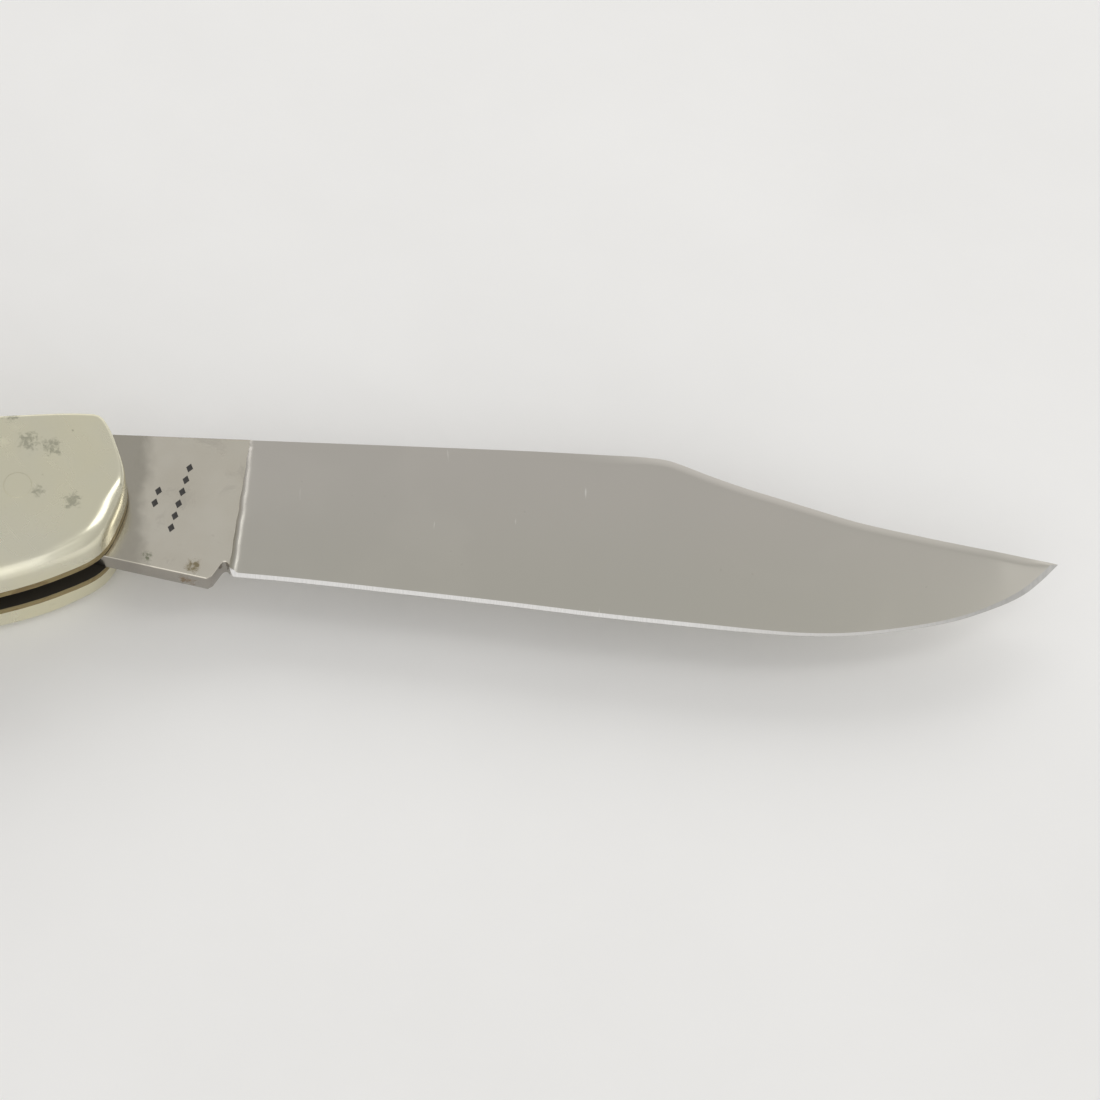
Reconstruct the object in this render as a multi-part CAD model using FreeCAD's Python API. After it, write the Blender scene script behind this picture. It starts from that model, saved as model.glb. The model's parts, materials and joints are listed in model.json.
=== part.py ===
"""A large single-blade slip-joint folding knife, lying on its side with the blade open.

Row frame, in millimetres: the origin is where the blade pivot's axis meets the plane that
the knife lies on, +X runs along the blade's spine to the tip, +Y points to the spine and the
handle's back, and +Z runs through the thickness, from the lower cover to the upper one.

The handle's outline is drawn in a frame of its own, turned HANDLE_DROP about the pivot,
because the handle hangs a little below the line of the open blade.
"""
import FreeCAD, Part
import math
import os

Vector = FreeCAD.Vector

# ---- driving dimensions ----------------------------------------------------------------------
BLADE_STOCK = 3.0           # thickness of the blade at its tang
SLOT = 3.2                  # gap between the liners, filled by the back spring
LINER = 1.2                 # thickness of each brass liner
COVER = 4.5                 # thickness of each bolster and handle scale
HANDLE_DROP = 7.0           # degrees that the handle hangs below the blade's spine
CLOSING_ANGLE = 169.0       # degrees that the blade turns, from open to closed

PIVOT_R = 1.6
CENTRE_PIN_R = 1.0
REAR_PIN_R = 1.2
SCALE_PIN_R = 0.8
RIVET_R = 0.8
RUNNING_GAP = 0.03          # radial clearance of the blade on its pivot pin
SEAT_GAP = 0.01             # radial clearance of every fixed pin in its hole

SPINE_Y = 9.75              # height of the blade's spine over the pivot
TANG_FLAT = 3.9             # distance from the pivot to the open and the closed flat
CAM_R = 4.05                # radius of the rounded end between those flats
SPRING_FACE = 4.15          # distance from the pivot to the spring's inner face
SHOULDER_X = 5.4            # where the spine starts, ahead of the spring's nose
NOSE_GAP = 0.2              # gap between that shoulder and the nose
KICK = 22.7                 # distance along the closed flat from the pivot to the kick

RIM_ROUND = 1.5             # rounding round the covers' outer rims
CORNER_ROUND = 1.7          # rounding of the handle's front top corner
FRONT_JOINT = -17.0         # where the front bolsters meet the scales, in the handle frame
REAR_JOINT = -108.0         # where the rear bolsters meet the scales
SPRING_ROOT = -54.0         # where the spring's front arm starts to flex
ROOT_GAP = 0.3              # gap that lets the arm turn about its root
ARM_SIDE_GAP = 0.05         # gap between the arm and each liner

# ---- levels through the thickness ------------------------------------------------------------
MID_Z = COVER + LINER + SLOT / 2
TOP_Z = 2 * MID_Z
LINER_Z = MID_Z + SLOT / 2          # inner face of the upper liner
COVER_Z = LINER_Z + LINER           # inner face of the upper bolsters and scale
PLATE_REACH = 200.0                 # larger than the knife, for cutting planes
OUTLINE_SPANS = 8

# ---- outlines --------------------------------------------------------------------------------
# The handle in its own frame, from its front top corner along the back, round the butt, along
# the belly with its swell and waist, and up the rounded front to the corner again.
HANDLE = [(9.8, 8.45), (6.5, 8.87), (2.5, 9.07), (-4, 9.2), (-12, 9.45), (-23, 10.05), (-42, 10.95),
          (-62, 11.75), (-80, 12.3), (-92, 12.0), (-104, 10.7), (-113, 8.5), (-119.6, 5.2),
          (-123.2, 1.4), (-124.2, -2.8), (-122.5, -7.0), (-118.6, -9.8), (-111, -11.9),
          (-100, -13.6), (-86, -14.2), (-72, -12.9), (-58, -11.4), (-45, -11.2), (-30, -11.9),
          (-17, -12.5), (-10, -12.35), (-3, -11.4), (1.1, -10.5), (5.3, -9.15), (8.8, -7.35),
          (11.15, -3.7), (12.3, 0.1), (11.65, 3.8), (10.95, 6.2), (9.8, 8.45)]

CLIP = [(71, SPINE_Y), (75.4, 9.05), (80, 7.45), (88, 4.95), (97, 2.35), (108, 0.2), (120.2, -1.6)]
EDGE = [(120.2, -1.6), (118, -4.1), (115.7, -6.0), (112.2, -7.8), (107.6, -9.5), (101.8, -10.9),
        (96, -11.7), (90, -11.95), (80, -11.45), (67, -10.55), (50, -9.0), (35, -7.85), (25, -7.3)]
NOTCH = [(22.75, -6.7), (23.45, -6.0), (24.15, -6.4)]    # the small cut ahead of the kick

# The spring's inner face behind the kick, clear of the folded blade, in the handle frame.
SPRING_INSIDE = [(-25, 7.15), (-45, 6.95), (-70, 7.0), (-92, 7.1), (-104, 5.6), (-112, 2.4),
                 (-118, -1.4), (-126, -7.0)]

# Where the grinds run: (point on the spine side, point on the edge, half thickness at the spine).
GRIND_STATIONS = [((20.0, SPINE_Y), (19.0, -7.1), 1.40), ((40.0, SPINE_Y), (40.0, -8.2), 1.38),
                  ((71.0, SPINE_Y), (71.0, -10.85), 1.30), ((84.0, 6.1), (88.0, -11.9), 1.15),
                  ((98.0, 2.1), (104.0, -10.4), 0.95), ((109.0, 0.0), (114.0, -6.95), 0.72),
                  ((116.0, -1.05), (118.6, -3.5), 0.45), ((121.0, -1.8), (121.6, -2.2), 0.25)]
GRIND_EDGE_HALF = 0.22      # half thickness that the main grind leaves at the edge
PLUNGE = [(25.75, 9.9), (24.45, -7.6)]                   # line where the main grind starts
BEVEL_WIDTH = 0.75
BEVEL_HALF = 0.03           # half thickness left at the very edge
OVERSHOOT = 4.0             # how far a grinding cut runs past the blade

# ---- fasteners, in the handle frame ----------------------------------------------------------
CENTRE_PIN = (-58.0, 9.3)
REAR_PIN = (-114.5, 3.8)
SCALE_PINS = [(-27.0, -1.5), (-97.0, -1.5)]
FRONT_RIVETS = [(-9.5, 5.0), (-9.5, -8.0)]
REAR_RIVETS = [(-112.0, -7.6)]
RIVET_HEAD_R = 1.3
RIVET_HEAD = 0.5            # depth of the countersunk head in the liner
RIVET_REACH = 2.6           # how far a rivet stands into its bolster
SHIELD = (-60.0, -1.2)
SHIELD_HALF_LENGTH = 10.5
SHIELD_HALF_WIDTH = 4.0
SHIELD_DEPTH = 0.8
SHIELD_PIN_R = 0.5
SHIELD_PIN_SPACING = 12.0
SHIELD_PIN_DEPTH = 2.2      # how far the shield's studs stand into the scale

# ---- nail nick, on the lower side of the blade -----------------------------------------------
NICK_X = 62.0
NICK_TOP = 7.9              # height of its deepest line
NICK_DEPTH = 0.75
NICK_CUTTER_R = 15.0
NICK_CUTTER_WIDTH = 6.0
NICK_TILT = 22.0


def to_row(point, z=0.0):
    """A point of the handle frame, in the row frame."""
    drop = math.radians(HANDLE_DROP)
    x, y = point
    return Vector(x * math.cos(drop) - y * math.sin(drop), x * math.sin(drop) + y * math.cos(drop), z)


def flat(point, z=0.0):
    """A point of the row frame at height z."""
    return Vector(point[0], point[1], z)


def spline(points):
    """A smooth edge through the points."""
    curve = Part.BSplineCurve()
    curve.interpolate(points)
    return curve.toShape()


def line(a, b):
    return Part.makeLine(a, b)


def arc(a, through, b):
    return Part.Arc(a, through, b).toShape()


def plate(edges, z_low, z_high):
    """A prism with the closed outline of the edges."""
    face = Part.Face(Part.Wire(Part.__sortEdges__(edges)))
    face.translate(Vector(0, 0, z_low))
    return face.extrude(Vector(0, 0, z_high - z_low))


def post(centre, radius, z_low, z_high):
    """A round pin or hole along Z."""
    return Part.makeCylinder(radius, z_high - z_low, Vector(centre.x, centre.y, z_low))


def other_side(shape):
    """The shape's mirror image on the lower half of the handle."""
    return shape.mirror(Vector(0, 0, MID_Z), Vector(0, 0, 1))


def one_solid(shape):
    """The only solid in a cut's result."""
    solids = shape.Solids
    if len(solids) != 1:
        raise ValueError("expected one solid, got %d" % len(solids))
    return solids[0]


def handle_edges():
    """The handle's outline: one smooth curve, cut into spans so that its volumes come out exact."""
    curve = Part.BSplineCurve()
    curve.interpolate([to_row(p) for p in HANDLE])
    first, last = curve.FirstParameter, curve.LastParameter
    ends = [first + (last - first) * i / OUTLINE_SPANS for i in range(OUTLINE_SPANS + 1)]
    return [curve.toShape(a, b) for a, b in zip(ends, ends[1:])]


def handle_plate(z_low, z_high):
    """A plate with the handle's outline, its front top corner rounded."""
    shape = plate(handle_edges(), z_low, z_high)
    corner = to_row(HANDLE[0])
    upright = [e for e in shape.Edges
               if e.BoundBox.ZLength > 0.5 and abs(e.Vertexes[0].X - corner.x) < 0.01]
    return shape.makeFillet(CORNER_ROUND, upright)


def half_space(x, side):
    """A block that holds everything on one side (-1 rear, 1 front) of a station of the handle frame."""
    far = x + side * PLATE_REACH
    corners = [(x, -PLATE_REACH), (far, -PLATE_REACH), (far, PLATE_REACH), (x, PLATE_REACH)]
    wire = Part.makePolygon([to_row(c, -PLATE_REACH) for c in corners + corners[:1]])
    return Part.Face(wire).extrude(Vector(0, 0, 2 * PLATE_REACH))


# ---- blade -----------------------------------------------------------------------------------
def blade_blank():
    """The blade's outline at full stock thickness, with its tang, kick and notch."""
    turn = math.radians(CLOSING_ANGLE + 90)
    out = Vector(math.cos(turn), math.sin(turn), 0)
    along = Vector(-math.sin(turn), math.cos(turn), 0)
    half_flat = math.sqrt(CAM_R ** 2 - TANG_FLAT ** 2)
    kick = out * TANG_FLAT + along * KICK
    cam_low = out * TANG_FLAT - along * half_flat
    cam_high = Vector(-half_flat, TANG_FLAT, 0)
    shoulder_low = Vector(SHOULDER_X, TANG_FLAT, 0)
    shoulder_high = Vector(SHOULDER_X, SPINE_Y, 0)
    notch_rise, notch_top, notch_fall = [flat(p) for p in NOTCH]
    edges = [
        line(shoulder_low, shoulder_high),
        line(shoulder_high, flat(CLIP[0])),
        spline([flat(p) for p in CLIP]),
        spline([flat(p) for p in EDGE]),
        line(flat(EDGE[-1]), notch_fall),
        arc(notch_fall, notch_top, notch_rise),
        line(notch_rise, kick),
        line(kick, cam_low),
        arc(cam_low, Vector(-CAM_R, 0, 0), cam_high),
        line(cam_high, shoulder_low),
    ]
    return plate(edges, MID_Z - BLADE_STOCK / 2, MID_Z + BLADE_STOCK / 2)


def grinding_cut(rulings):
    """The solid over a ruled surface, which takes the metal off."""
    surface = Part.makeLoft([Part.Wire([line(a, b)]) for a, b in rulings], False, True)
    blocks = surface.extrude(Vector(0, 0, BLADE_STOCK * 2)).Solids
    return blocks[0].multiFuse(blocks[1:])


def ruling(spine_point, spine_half, edge_point, edge_half):
    """A straight line over the blade, lengthened past both ends at the same slope."""
    a = flat(spine_point, MID_Z + spine_half)
    b = flat(edge_point, MID_Z + edge_half)
    step = (b - a).normalize() * OVERSHOOT
    return a - step, b + step


def main_grind():
    """Takes one face of the blade down from the spine to the edge, ahead of the plunge line."""
    cut = grinding_cut([ruling(s, half, e, GRIND_EDGE_HALF) for s, e, half in GRIND_STATIONS])
    top, bottom = [flat(p) for p in PLUNGE]
    along = (bottom - top).normalize() * PLATE_REACH
    reach = Vector(PLATE_REACH, 0, 0)
    ahead = Part.makePolygon([top - along, bottom + along, bottom + along + reach,
                              top - along + reach, top - along])
    keep = Part.Face(ahead).extrude(Vector(0, 0, PLATE_REACH))
    return cut.common(keep)


def edge_bevel():
    """Takes the narrow sharpening bevel off one face, along the cutting edge."""
    curve = Part.BSplineCurve()
    curve.interpolate([flat(p) for p in EDGE])
    first, last = curve.FirstParameter, curve.LastParameter
    rulings = []
    for share in (0.0, 0.03, 0.07, 0.12, 0.18, 0.26, 0.36, 0.5, 0.65, 0.82, 1.0):
        at = first + (last - first) * share
        point, tangent = curve.value(at), curve.tangent(at)[0]
        inward = Vector(tangent.y, -tangent.x, 0)
        heel = point + inward * BEVEL_WIDTH
        a = Vector(heel.x, heel.y, MID_Z + GRIND_EDGE_HALF + 0.06)
        b = Vector(point.x, point.y, MID_Z + BEVEL_HALF)
        step = (b - a).normalize() * BEVEL_WIDTH
        rulings.append((a - step, b + step))
    return grinding_cut(rulings)


def nail_nick():
    """A tilted disc that bites a crescent into the blade's lower face, steep on the spine side."""
    disc = Part.makeCylinder(NICK_CUTTER_R, NICK_CUTTER_WIDTH, Vector(0, 0, 0), Vector(0, -1, 0))
    disc.rotate(Vector(0, 0, 0), Vector(1, 0, 0), NICK_TILT)
    tilt = math.radians(NICK_TILT)
    bite = MID_Z - BLADE_STOCK / 2 + NICK_DEPTH
    disc.translate(Vector(NICK_X, NICK_TOP + NICK_CUTTER_R * math.sin(tilt),
                          bite - NICK_CUTTER_R * math.cos(tilt)))
    return disc


def blade():
    shape = blade_blank()
    grind = main_grind()
    shape = shape.cut(grind).cut(other_side(grind))
    bevel = edge_bevel()
    shape = shape.cut(bevel).cut(other_side(bevel))
    shape = shape.cut(nail_nick())
    return one_solid(shape.cut(post(Vector(0, 0, 0), PIVOT_R + RUNNING_GAP, 0, TOP_Z)))


# ---- back spring -----------------------------------------------------------------------------
def whole_spring(side_gap):
    """The back spring in one piece, from its nose over the tang to the butt."""
    nose_x = SHOULDER_X - NOSE_GAP
    inside = [to_row(p) for p in SPRING_INSIDE]
    nose_high = Vector(nose_x, PLATE_REACH, 0)
    nose_low = Vector(nose_x, SPRING_FACE, 0)
    kick_seat = Vector(inside[0].x + 1.5, SPRING_FACE, 0)
    far_low = Vector(inside[-1].x, -PLATE_REACH, 0)
    right_low = Vector(PLATE_REACH, -PLATE_REACH, 0)
    right_high = Vector(PLATE_REACH, PLATE_REACH, 0)
    slot = plate([
        line(nose_high, nose_low), line(nose_low, kick_seat), line(kick_seat, inside[0]),
        spline(inside), line(inside[-1], far_low), line(far_low, right_low),
        line(right_low, right_high), line(right_high, nose_high),
    ], -PLATE_REACH, PLATE_REACH)
    body = handle_plate(MID_Z - SLOT / 2 + side_gap, MID_Z + SLOT / 2 - side_gap)
    return body.cut(slot)


def back_spring():
    """The half of the spring that the pins hold still."""
    shape = whole_spring(0).cut(half_space(SPRING_ROOT - ROOT_GAP / 2, 1))
    for centre, radius in ((CENTRE_PIN, CENTRE_PIN_R), (REAR_PIN, REAR_PIN_R)):
        shape = shape.cut(post(to_row(centre), radius + SEAT_GAP, 0, TOP_Z))
    return one_solid(shape)


def spring_arm():
    """The front half of the spring, which the tang lifts as the blade turns."""
    return one_solid(whole_spring(ARM_SIDE_GAP).cut(half_space(SPRING_ROOT + ROOT_GAP / 2, -1)))


# ---- liners, bolsters and scales -------------------------------------------------------------
def through_pins():
    """(centre in the handle frame, radius) of each pin that crosses the whole handle."""
    return [((0, 0), PIVOT_R), (CENTRE_PIN, CENTRE_PIN_R), (REAR_PIN, REAR_PIN_R)]


def drill_through_pins(shape):
    for centre, radius in through_pins():
        shape = shape.cut(post(to_row(centre), radius + SEAT_GAP, 0, TOP_Z))
    return shape


def rivet(centre, gap=0.0):
    """A countersunk rivet that holds the upper liner to a bolster; gap widens it for its hole."""
    at = to_row(centre)
    head = Part.makeCone(RIVET_HEAD_R + gap, RIVET_R + gap, RIVET_HEAD, Vector(at.x, at.y, LINER_Z))
    shank = post(at, RIVET_R + gap, LINER_Z + RIVET_HEAD, COVER_Z + RIVET_REACH + gap)
    return head.fuse(shank).removeSplitter()


def drill_rivets(shape):
    for centre in FRONT_RIVETS + REAR_RIVETS:
        shape = shape.cut(rivet(centre, SEAT_GAP))
    return shape


def upper_liner():
    shape = drill_through_pins(handle_plate(LINER_Z, COVER_Z))
    for centre in SCALE_PINS:
        shape = shape.cut(post(to_row(centre), SCALE_PIN_R + SEAT_GAP, 0, TOP_Z))
    return one_solid(drill_rivets(shape))


def cover_slab():
    """The upper cover in one piece, with its outer rim rounded, before it is cut into three."""
    slab = handle_plate(COVER_Z, TOP_Z)
    rim = [e for e in slab.Edges if e.BoundBox.ZMin > TOP_Z - 0.01]
    return slab.makeFillet(RIM_ROUND, rim)


def upper_front_bolster():
    shape = cover_slab().cut(half_space(FRONT_JOINT, -1))
    return one_solid(drill_rivets(drill_through_pins(shape)))


def upper_rear_bolster():
    shape = cover_slab().cut(half_space(REAR_JOINT, 1))
    return one_solid(drill_rivets(drill_through_pins(shape)))


def upper_scale():
    shape = cover_slab().cut(half_space(FRONT_JOINT, 1)).cut(half_space(REAR_JOINT, -1))
    shape = drill_through_pins(shape)
    for centre in SCALE_PINS:
        shape = shape.cut(post(to_row(centre), SCALE_PIN_R + SEAT_GAP, 0, TOP_Z))
    return one_solid(shape)


# ---- shield, on the lower scale --------------------------------------------------------------
def shield_plate(gap=0.0):
    """A plain oval inlay, flush with the lower scale; gap widens it for its seat."""
    centre = to_row(SHIELD)
    oval = Part.Ellipse(centre, SHIELD_HALF_LENGTH + gap, SHIELD_HALF_WIDTH + gap).toShape()
    face = Part.Face(Part.Wire([oval]))
    face.rotate(centre, Vector(0, 0, 1), HANDLE_DROP)
    return face.extrude(Vector(0, 0, SHIELD_DEPTH + gap))


def shield_studs(gap=0.0):
    """The two small studs that hold the shield."""
    x, y = SHIELD
    offsets = (-SHIELD_PIN_SPACING / 2, SHIELD_PIN_SPACING / 2)
    return [post(to_row((x + dx, y)), SHIELD_PIN_R + gap, 0, SHIELD_PIN_DEPTH + gap) for dx in offsets]


def lower_scale(scale):
    """The upper scale's mirror image, with the shield's seat."""
    shape = other_side(scale).cut(shield_plate(SEAT_GAP))
    for stud in shield_studs(SEAT_GAP):
        shape = shape.cut(stud)
    return one_solid(shape)


def shield():
    shape = shield_plate()
    for stud in shield_studs(SEAT_GAP):
        shape = shape.cut(stud)
    return one_solid(shape)


# ---- pins and rivets -------------------------------------------------------------------------
def through_pin(index):
    centre, radius = through_pins()[index]
    return post(to_row(centre), radius, 0, TOP_Z)


def group(shapes):
    """Separate solids that share one node."""
    return Part.makeCompound(shapes)


def upper_scale_pins():
    return group([post(to_row(c), SCALE_PIN_R, LINER_Z, TOP_Z) for c in SCALE_PINS])


def upper_rivets(centres):
    return group([rivet(c) for c in centres])


def build():
    """Every node's name and shape."""
    liner, front, rear = upper_liner(), upper_front_bolster(), upper_rear_bolster()
    scale, scale_pins = upper_scale(), upper_scale_pins()
    front_rivets, rear_rivets = upper_rivets(FRONT_RIVETS), upper_rivets(REAR_RIVETS)
    return {
        "blade": blade(),
        "back_spring": back_spring(),
        "spring_arm": spring_arm(),
        "upper_liner": liner,
        "lower_liner": other_side(liner),
        "upper_front_bolster": front,
        "lower_front_bolster": other_side(front),
        "upper_rear_bolster": rear,
        "lower_rear_bolster": other_side(rear),
        "upper_scale": scale,
        "lower_scale": lower_scale(scale),
        "pivot_pin": through_pin(0),
        "centre_pin": through_pin(1),
        "rear_pin": through_pin(2),
        "upper_scale_pins": scale_pins,
        "lower_scale_pins": other_side(scale_pins),
        "upper_front_bolster_rivets": front_rivets,
        "lower_front_bolster_rivets": other_side(front_rivets),
        "upper_rear_bolster_rivet": rear_rivets,
        "lower_rear_bolster_rivet": other_side(rear_rivets),
        "shield": shield(),
        "shield_studs": group(shield_studs()),
    }


def main():
    os.makedirs("parts", exist_ok=True)
    for name, shape in build().items():
        if not shape.isValid() or shape.Volume <= 0:
            raise ValueError("node %s is not a valid solid" % name)
        shape.exportStep("parts/%s.step" % name)
        print("%-28s %2d solid(s) %9.2f mm3" % (name, len(shape.Solids), shape.Volume))


main()
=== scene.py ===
"""The looks of a large folding clip-point knife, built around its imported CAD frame.

Units are metres, in the CAD frame: the origin is where the blade pivot's axis meets the plane
that the knife lies on, +X runs to the tip, +Y to the spine and +Z up through the thickness.
"""
import json
import math
import random
from contextlib import contextmanager

import bmesh
import bpy
from mathutils import Euler, Matrix, Vector
from mathutils.kdtree import KDTree


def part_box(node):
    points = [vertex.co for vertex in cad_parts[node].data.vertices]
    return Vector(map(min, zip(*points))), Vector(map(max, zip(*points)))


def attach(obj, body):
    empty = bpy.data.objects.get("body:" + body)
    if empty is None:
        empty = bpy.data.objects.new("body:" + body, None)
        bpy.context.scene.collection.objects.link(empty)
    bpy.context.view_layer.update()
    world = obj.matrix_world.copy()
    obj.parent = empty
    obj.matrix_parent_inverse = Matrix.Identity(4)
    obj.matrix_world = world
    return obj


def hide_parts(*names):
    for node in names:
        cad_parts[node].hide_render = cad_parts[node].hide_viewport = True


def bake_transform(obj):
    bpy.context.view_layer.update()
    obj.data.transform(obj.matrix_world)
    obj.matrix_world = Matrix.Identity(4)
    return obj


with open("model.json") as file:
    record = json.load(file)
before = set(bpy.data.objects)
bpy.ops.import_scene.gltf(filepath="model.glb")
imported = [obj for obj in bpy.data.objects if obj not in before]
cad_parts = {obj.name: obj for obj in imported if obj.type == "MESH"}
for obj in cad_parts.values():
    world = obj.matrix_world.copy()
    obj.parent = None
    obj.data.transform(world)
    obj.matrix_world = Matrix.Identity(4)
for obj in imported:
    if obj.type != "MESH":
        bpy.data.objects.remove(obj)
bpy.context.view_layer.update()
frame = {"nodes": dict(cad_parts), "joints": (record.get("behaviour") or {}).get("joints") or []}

bl_info = {
    "name": "Folding knife",
    "version": (1, 0, 0),
    "blender": (4, 5, 0),
    "location": "View3D > Sidebar > Knife",
    "description": "Models and finishes a large slip-joint folding knife, piece by piece",
    "category": "Add Mesh",
}

MM = 0.001
LEVEL = 1e-7         # points nearer in height than this are level
WELD = 1e-6          # points nearer than this are one

# ---- levels and places that the frame gives --------------------------------------------------
BLADE_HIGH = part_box("blade")[1]
TOP_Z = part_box("upper_scale")[1].z
MID_Z = TOP_Z / 2
COVER_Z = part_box("upper_liner")[1].z
JOINTS = {joint["name"]: joint for joint in frame["joints"]}
CUTTER_TOP = MID_Z + 4 * MM          # the blade's cutters end well above it
PIN_HEAD = 0.8 * MM                  # radius of the small pins in the scales


def centre_of(node):
    """The middle of a CAD node's box."""
    low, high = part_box(node)
    return (low + high) / 2


# ---- outlines, in millimetres ----------------------------------------------------------------
HANDLE_DROP = math.radians(7)       # the handle hangs this far below the line of the blade
SPINE_Y = 9.75
STOCK_HALF = 1.5                    # half the blade's thickness at its tang
CLIP = [(71, SPINE_Y), (74.1, 9.5), (76.0, 8.98), (79.5, 7.65), (83.6, 6.25), (87.7, 5.05),
        (91.8, 3.85), (97, 2.4), (104, 1.0), (112, -0.4), (120.2, -1.6)]
EDGE = [(24.9, -7.2), (32.6, -7.65), (44.2, -8.56), (55.7, -9.5), (67.3, -10.55), (78.8, -11.4),
        (85.7, -11.8), (91, -11.94), (96, -11.7), (101.8, -10.85), (107.6, -9.5), (112.2, -7.75),
        (115.7, -5.95), (118, -4.0), (120.2, -1.6)]
KICK = (21.9, -8.25)                # lowest corner of the ricasso
NOTCH = [(23.0, -7.0), (23.5, -6.2), (23.95, -6.0), (24.35, -6.35)]
TANG = [(-1.1, 3.9), (5.4, 3.9), (5.4, SPINE_Y)]
PLUNGE_TOP, PLUNGE_FOOT = (25.75, 9.9), (24.4, -6.6)
TANG_RADIUS = 4.05                  # the cam of the tang round the pivot
TANG_FLAT, TANG_CORNER = 3.9, 1.1   # the flat that the spring rests on when the knife is shut
PIVOT_HOLE = 1.63
NICK_PLACE, NICK_DEPTH = (62, 7.9), 0.75


def mm(x, y, z=0.0):
    """A point given in millimetres."""
    return Vector((x, y, z)) * MM


def from_handle(x, y):
    """A point of the handle's own frame, in millimetres, in the row frame."""
    return Matrix.Rotation(HANDLE_DROP, 3, "Z") @ mm(x, y)


def to_handle(point):
    """A point of the row frame in the handle's own frame, in millimetres."""
    return Matrix.Rotation(-HANDLE_DROP, 3, "Z") @ Vector((point[0], point[1], 0)) / MM


def smooth_path(points, step):
    """A smooth line through points, given and returned as 2-D vectors, about step apart."""
    points = [Vector(p) for p in points]
    ends = [points[0] * 2 - points[1]] + points + [points[-1] * 2 - points[-2]]
    path = []
    for a, b, c, d in zip(ends, ends[1:], ends[2:], ends[3:]):
        count = max(1, round((c - b).length / step))
        for i in range(count):
            t = i / count
            path.append(0.5 * (2 * b + (c - a) * t + (2 * a - 5 * b + 4 * c - d) * t * t
                               + (3 * b - a - 3 * c + d) * t ** 3))
    return path + [points[-1]]


class Line:
    """A smooth line in the plane that tells how far a point is from it."""

    def __init__(self, points, step=0.5):
        self.points = smooth_path(points, step)
        self.tree = KDTree(len(self.points))
        for i, p in enumerate(self.points):
            self.tree.insert((p.x, p.y, 0), i)
        self.tree.balance()

    def distance(self, x, y):
        """The distance to the line, above zero on its left."""
        index = self.tree.find((x, y, 0))[1]
        here = Vector((x, y))
        best = None
        for i in (index - 1, index):
            if 0 <= i < len(self.points) - 1:
                a, b = self.points[i], self.points[i + 1]
                along = b - a
                t = (here - a).dot(along) / along.length_squared
                low = -1e9 if i == 0 else 0.0
                high = 1e9 if i == len(self.points) - 2 else 1.0
                foot = a + along * min(max(t, low), high)
                gap = (here - foot).length
                if best is None or gap < abs(best):
                    side = along.x * (here.y - a.y) - along.y * (here.x - a.x)
                    best = math.copysign(gap, side)
        return best


EDGE_LINE = Line(EDGE)
CLIP_LINE = Line([(20, SPINE_Y), (45, SPINE_Y), (66, SPINE_Y)] + CLIP)


def ease(t):
    """Goes smoothly from 0 at t = 0 to 1 at t = 1."""
    t = min(max(t, 0.0), 1.0)
    return t * t * (3 - 2 * t)


# ---- making meshes ---------------------------------------------------------------------------
def deselect():
    if bpy.context.object and bpy.context.object.mode != "OBJECT":
        bpy.ops.object.mode_set(mode="OBJECT")
    bpy.ops.object.select_all(action="DESELECT")


def make_active(obj):
    deselect()
    obj.select_set(True)
    bpy.context.view_layer.objects.active = obj
    return obj


@contextmanager
def editing(obj, select_by=None, action="SELECT"):
    """Edit mode on one object, with everything or nothing selected, and object mode again after it."""
    make_active(obj)
    bpy.ops.object.mode_set(mode="EDIT")
    if select_by:
        bpy.ops.mesh.select_mode(type=select_by)
    bpy.ops.mesh.select_all(action=action)
    yield
    bpy.ops.object.mode_set(mode="OBJECT")


def pick(obj, kind, wanted):
    """Selects the vertices, edges or faces for which wanted holds, in edit mode."""
    mesh = bmesh.from_edit_mesh(obj.data)
    for part in getattr(mesh, kind):
        part.select_set(wanted(part))
    bmesh.update_edit_mesh(obj.data)


def face_outward():
    """Turns every normal of the mesh being edited outward."""
    bpy.ops.mesh.select_all(action="SELECT")
    bpy.ops.mesh.normals_make_consistent(inside=False)


def extrude_up(height):
    bpy.ops.mesh.extrude_region_move(TRANSFORM_OT_translate={"value": (0, 0, height)})


def outline_plate(name, outline, z_low, z_high):
    """A solid plate: a filled circle whose corners are moved to the outline, then extruded up."""
    deselect()
    bpy.ops.mesh.primitive_circle_add(vertices=len(outline), radius=0.01, fill_type="NGON")
    obj = bpy.context.object
    obj.name = obj.data.name = name
    order = sorted(obj.data.vertices, key=lambda v: math.atan2(v.co.y, v.co.x) % (2 * math.pi))
    for vertex, point in zip(order, outline):
        vertex.co = (point[0], point[1], z_low)
    with editing(obj):
        extrude_up(z_high - z_low)
        face_outward()
    return obj


def grid_block(name, columns, rows, place, top):
    """A block over a surface: a grid whose points place(column, row) gives, extruded to top."""
    deselect()
    bpy.ops.mesh.primitive_grid_add(x_subdivisions=columns - 1, y_subdivisions=rows - 1, size=1)
    obj = bpy.context.object
    obj.name = obj.data.name = name
    for vertex in obj.data.vertices:
        column = round((vertex.co.x + 0.5) * (columns - 1))
        row = round((vertex.co.y + 0.5) * (rows - 1))
        vertex.co = place(column, row)
    with editing(obj):
        extrude_up(0)
        mesh = bmesh.from_edit_mesh(obj.data)
        for vertex in (v for v in mesh.verts if v.select):
            vertex.co.z = top
        bmesh.update_edit_mesh(obj.data)
        face_outward()
    return obj


def rod(place, radius, z_low, z_high):
    """An upright cylinder at a place of the row frame."""
    deselect()
    bpy.ops.mesh.primitive_cylinder_add(vertices=64, radius=radius, depth=z_high - z_low,
                                        location=(place[0], place[1], (z_low + z_high) / 2))
    bpy.ops.object.transform_apply(location=True, rotation=True, scale=True)
    return bpy.context.object


def copy_of(obj):
    make_active(obj)
    bpy.ops.object.duplicate()
    return bpy.context.object


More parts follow.
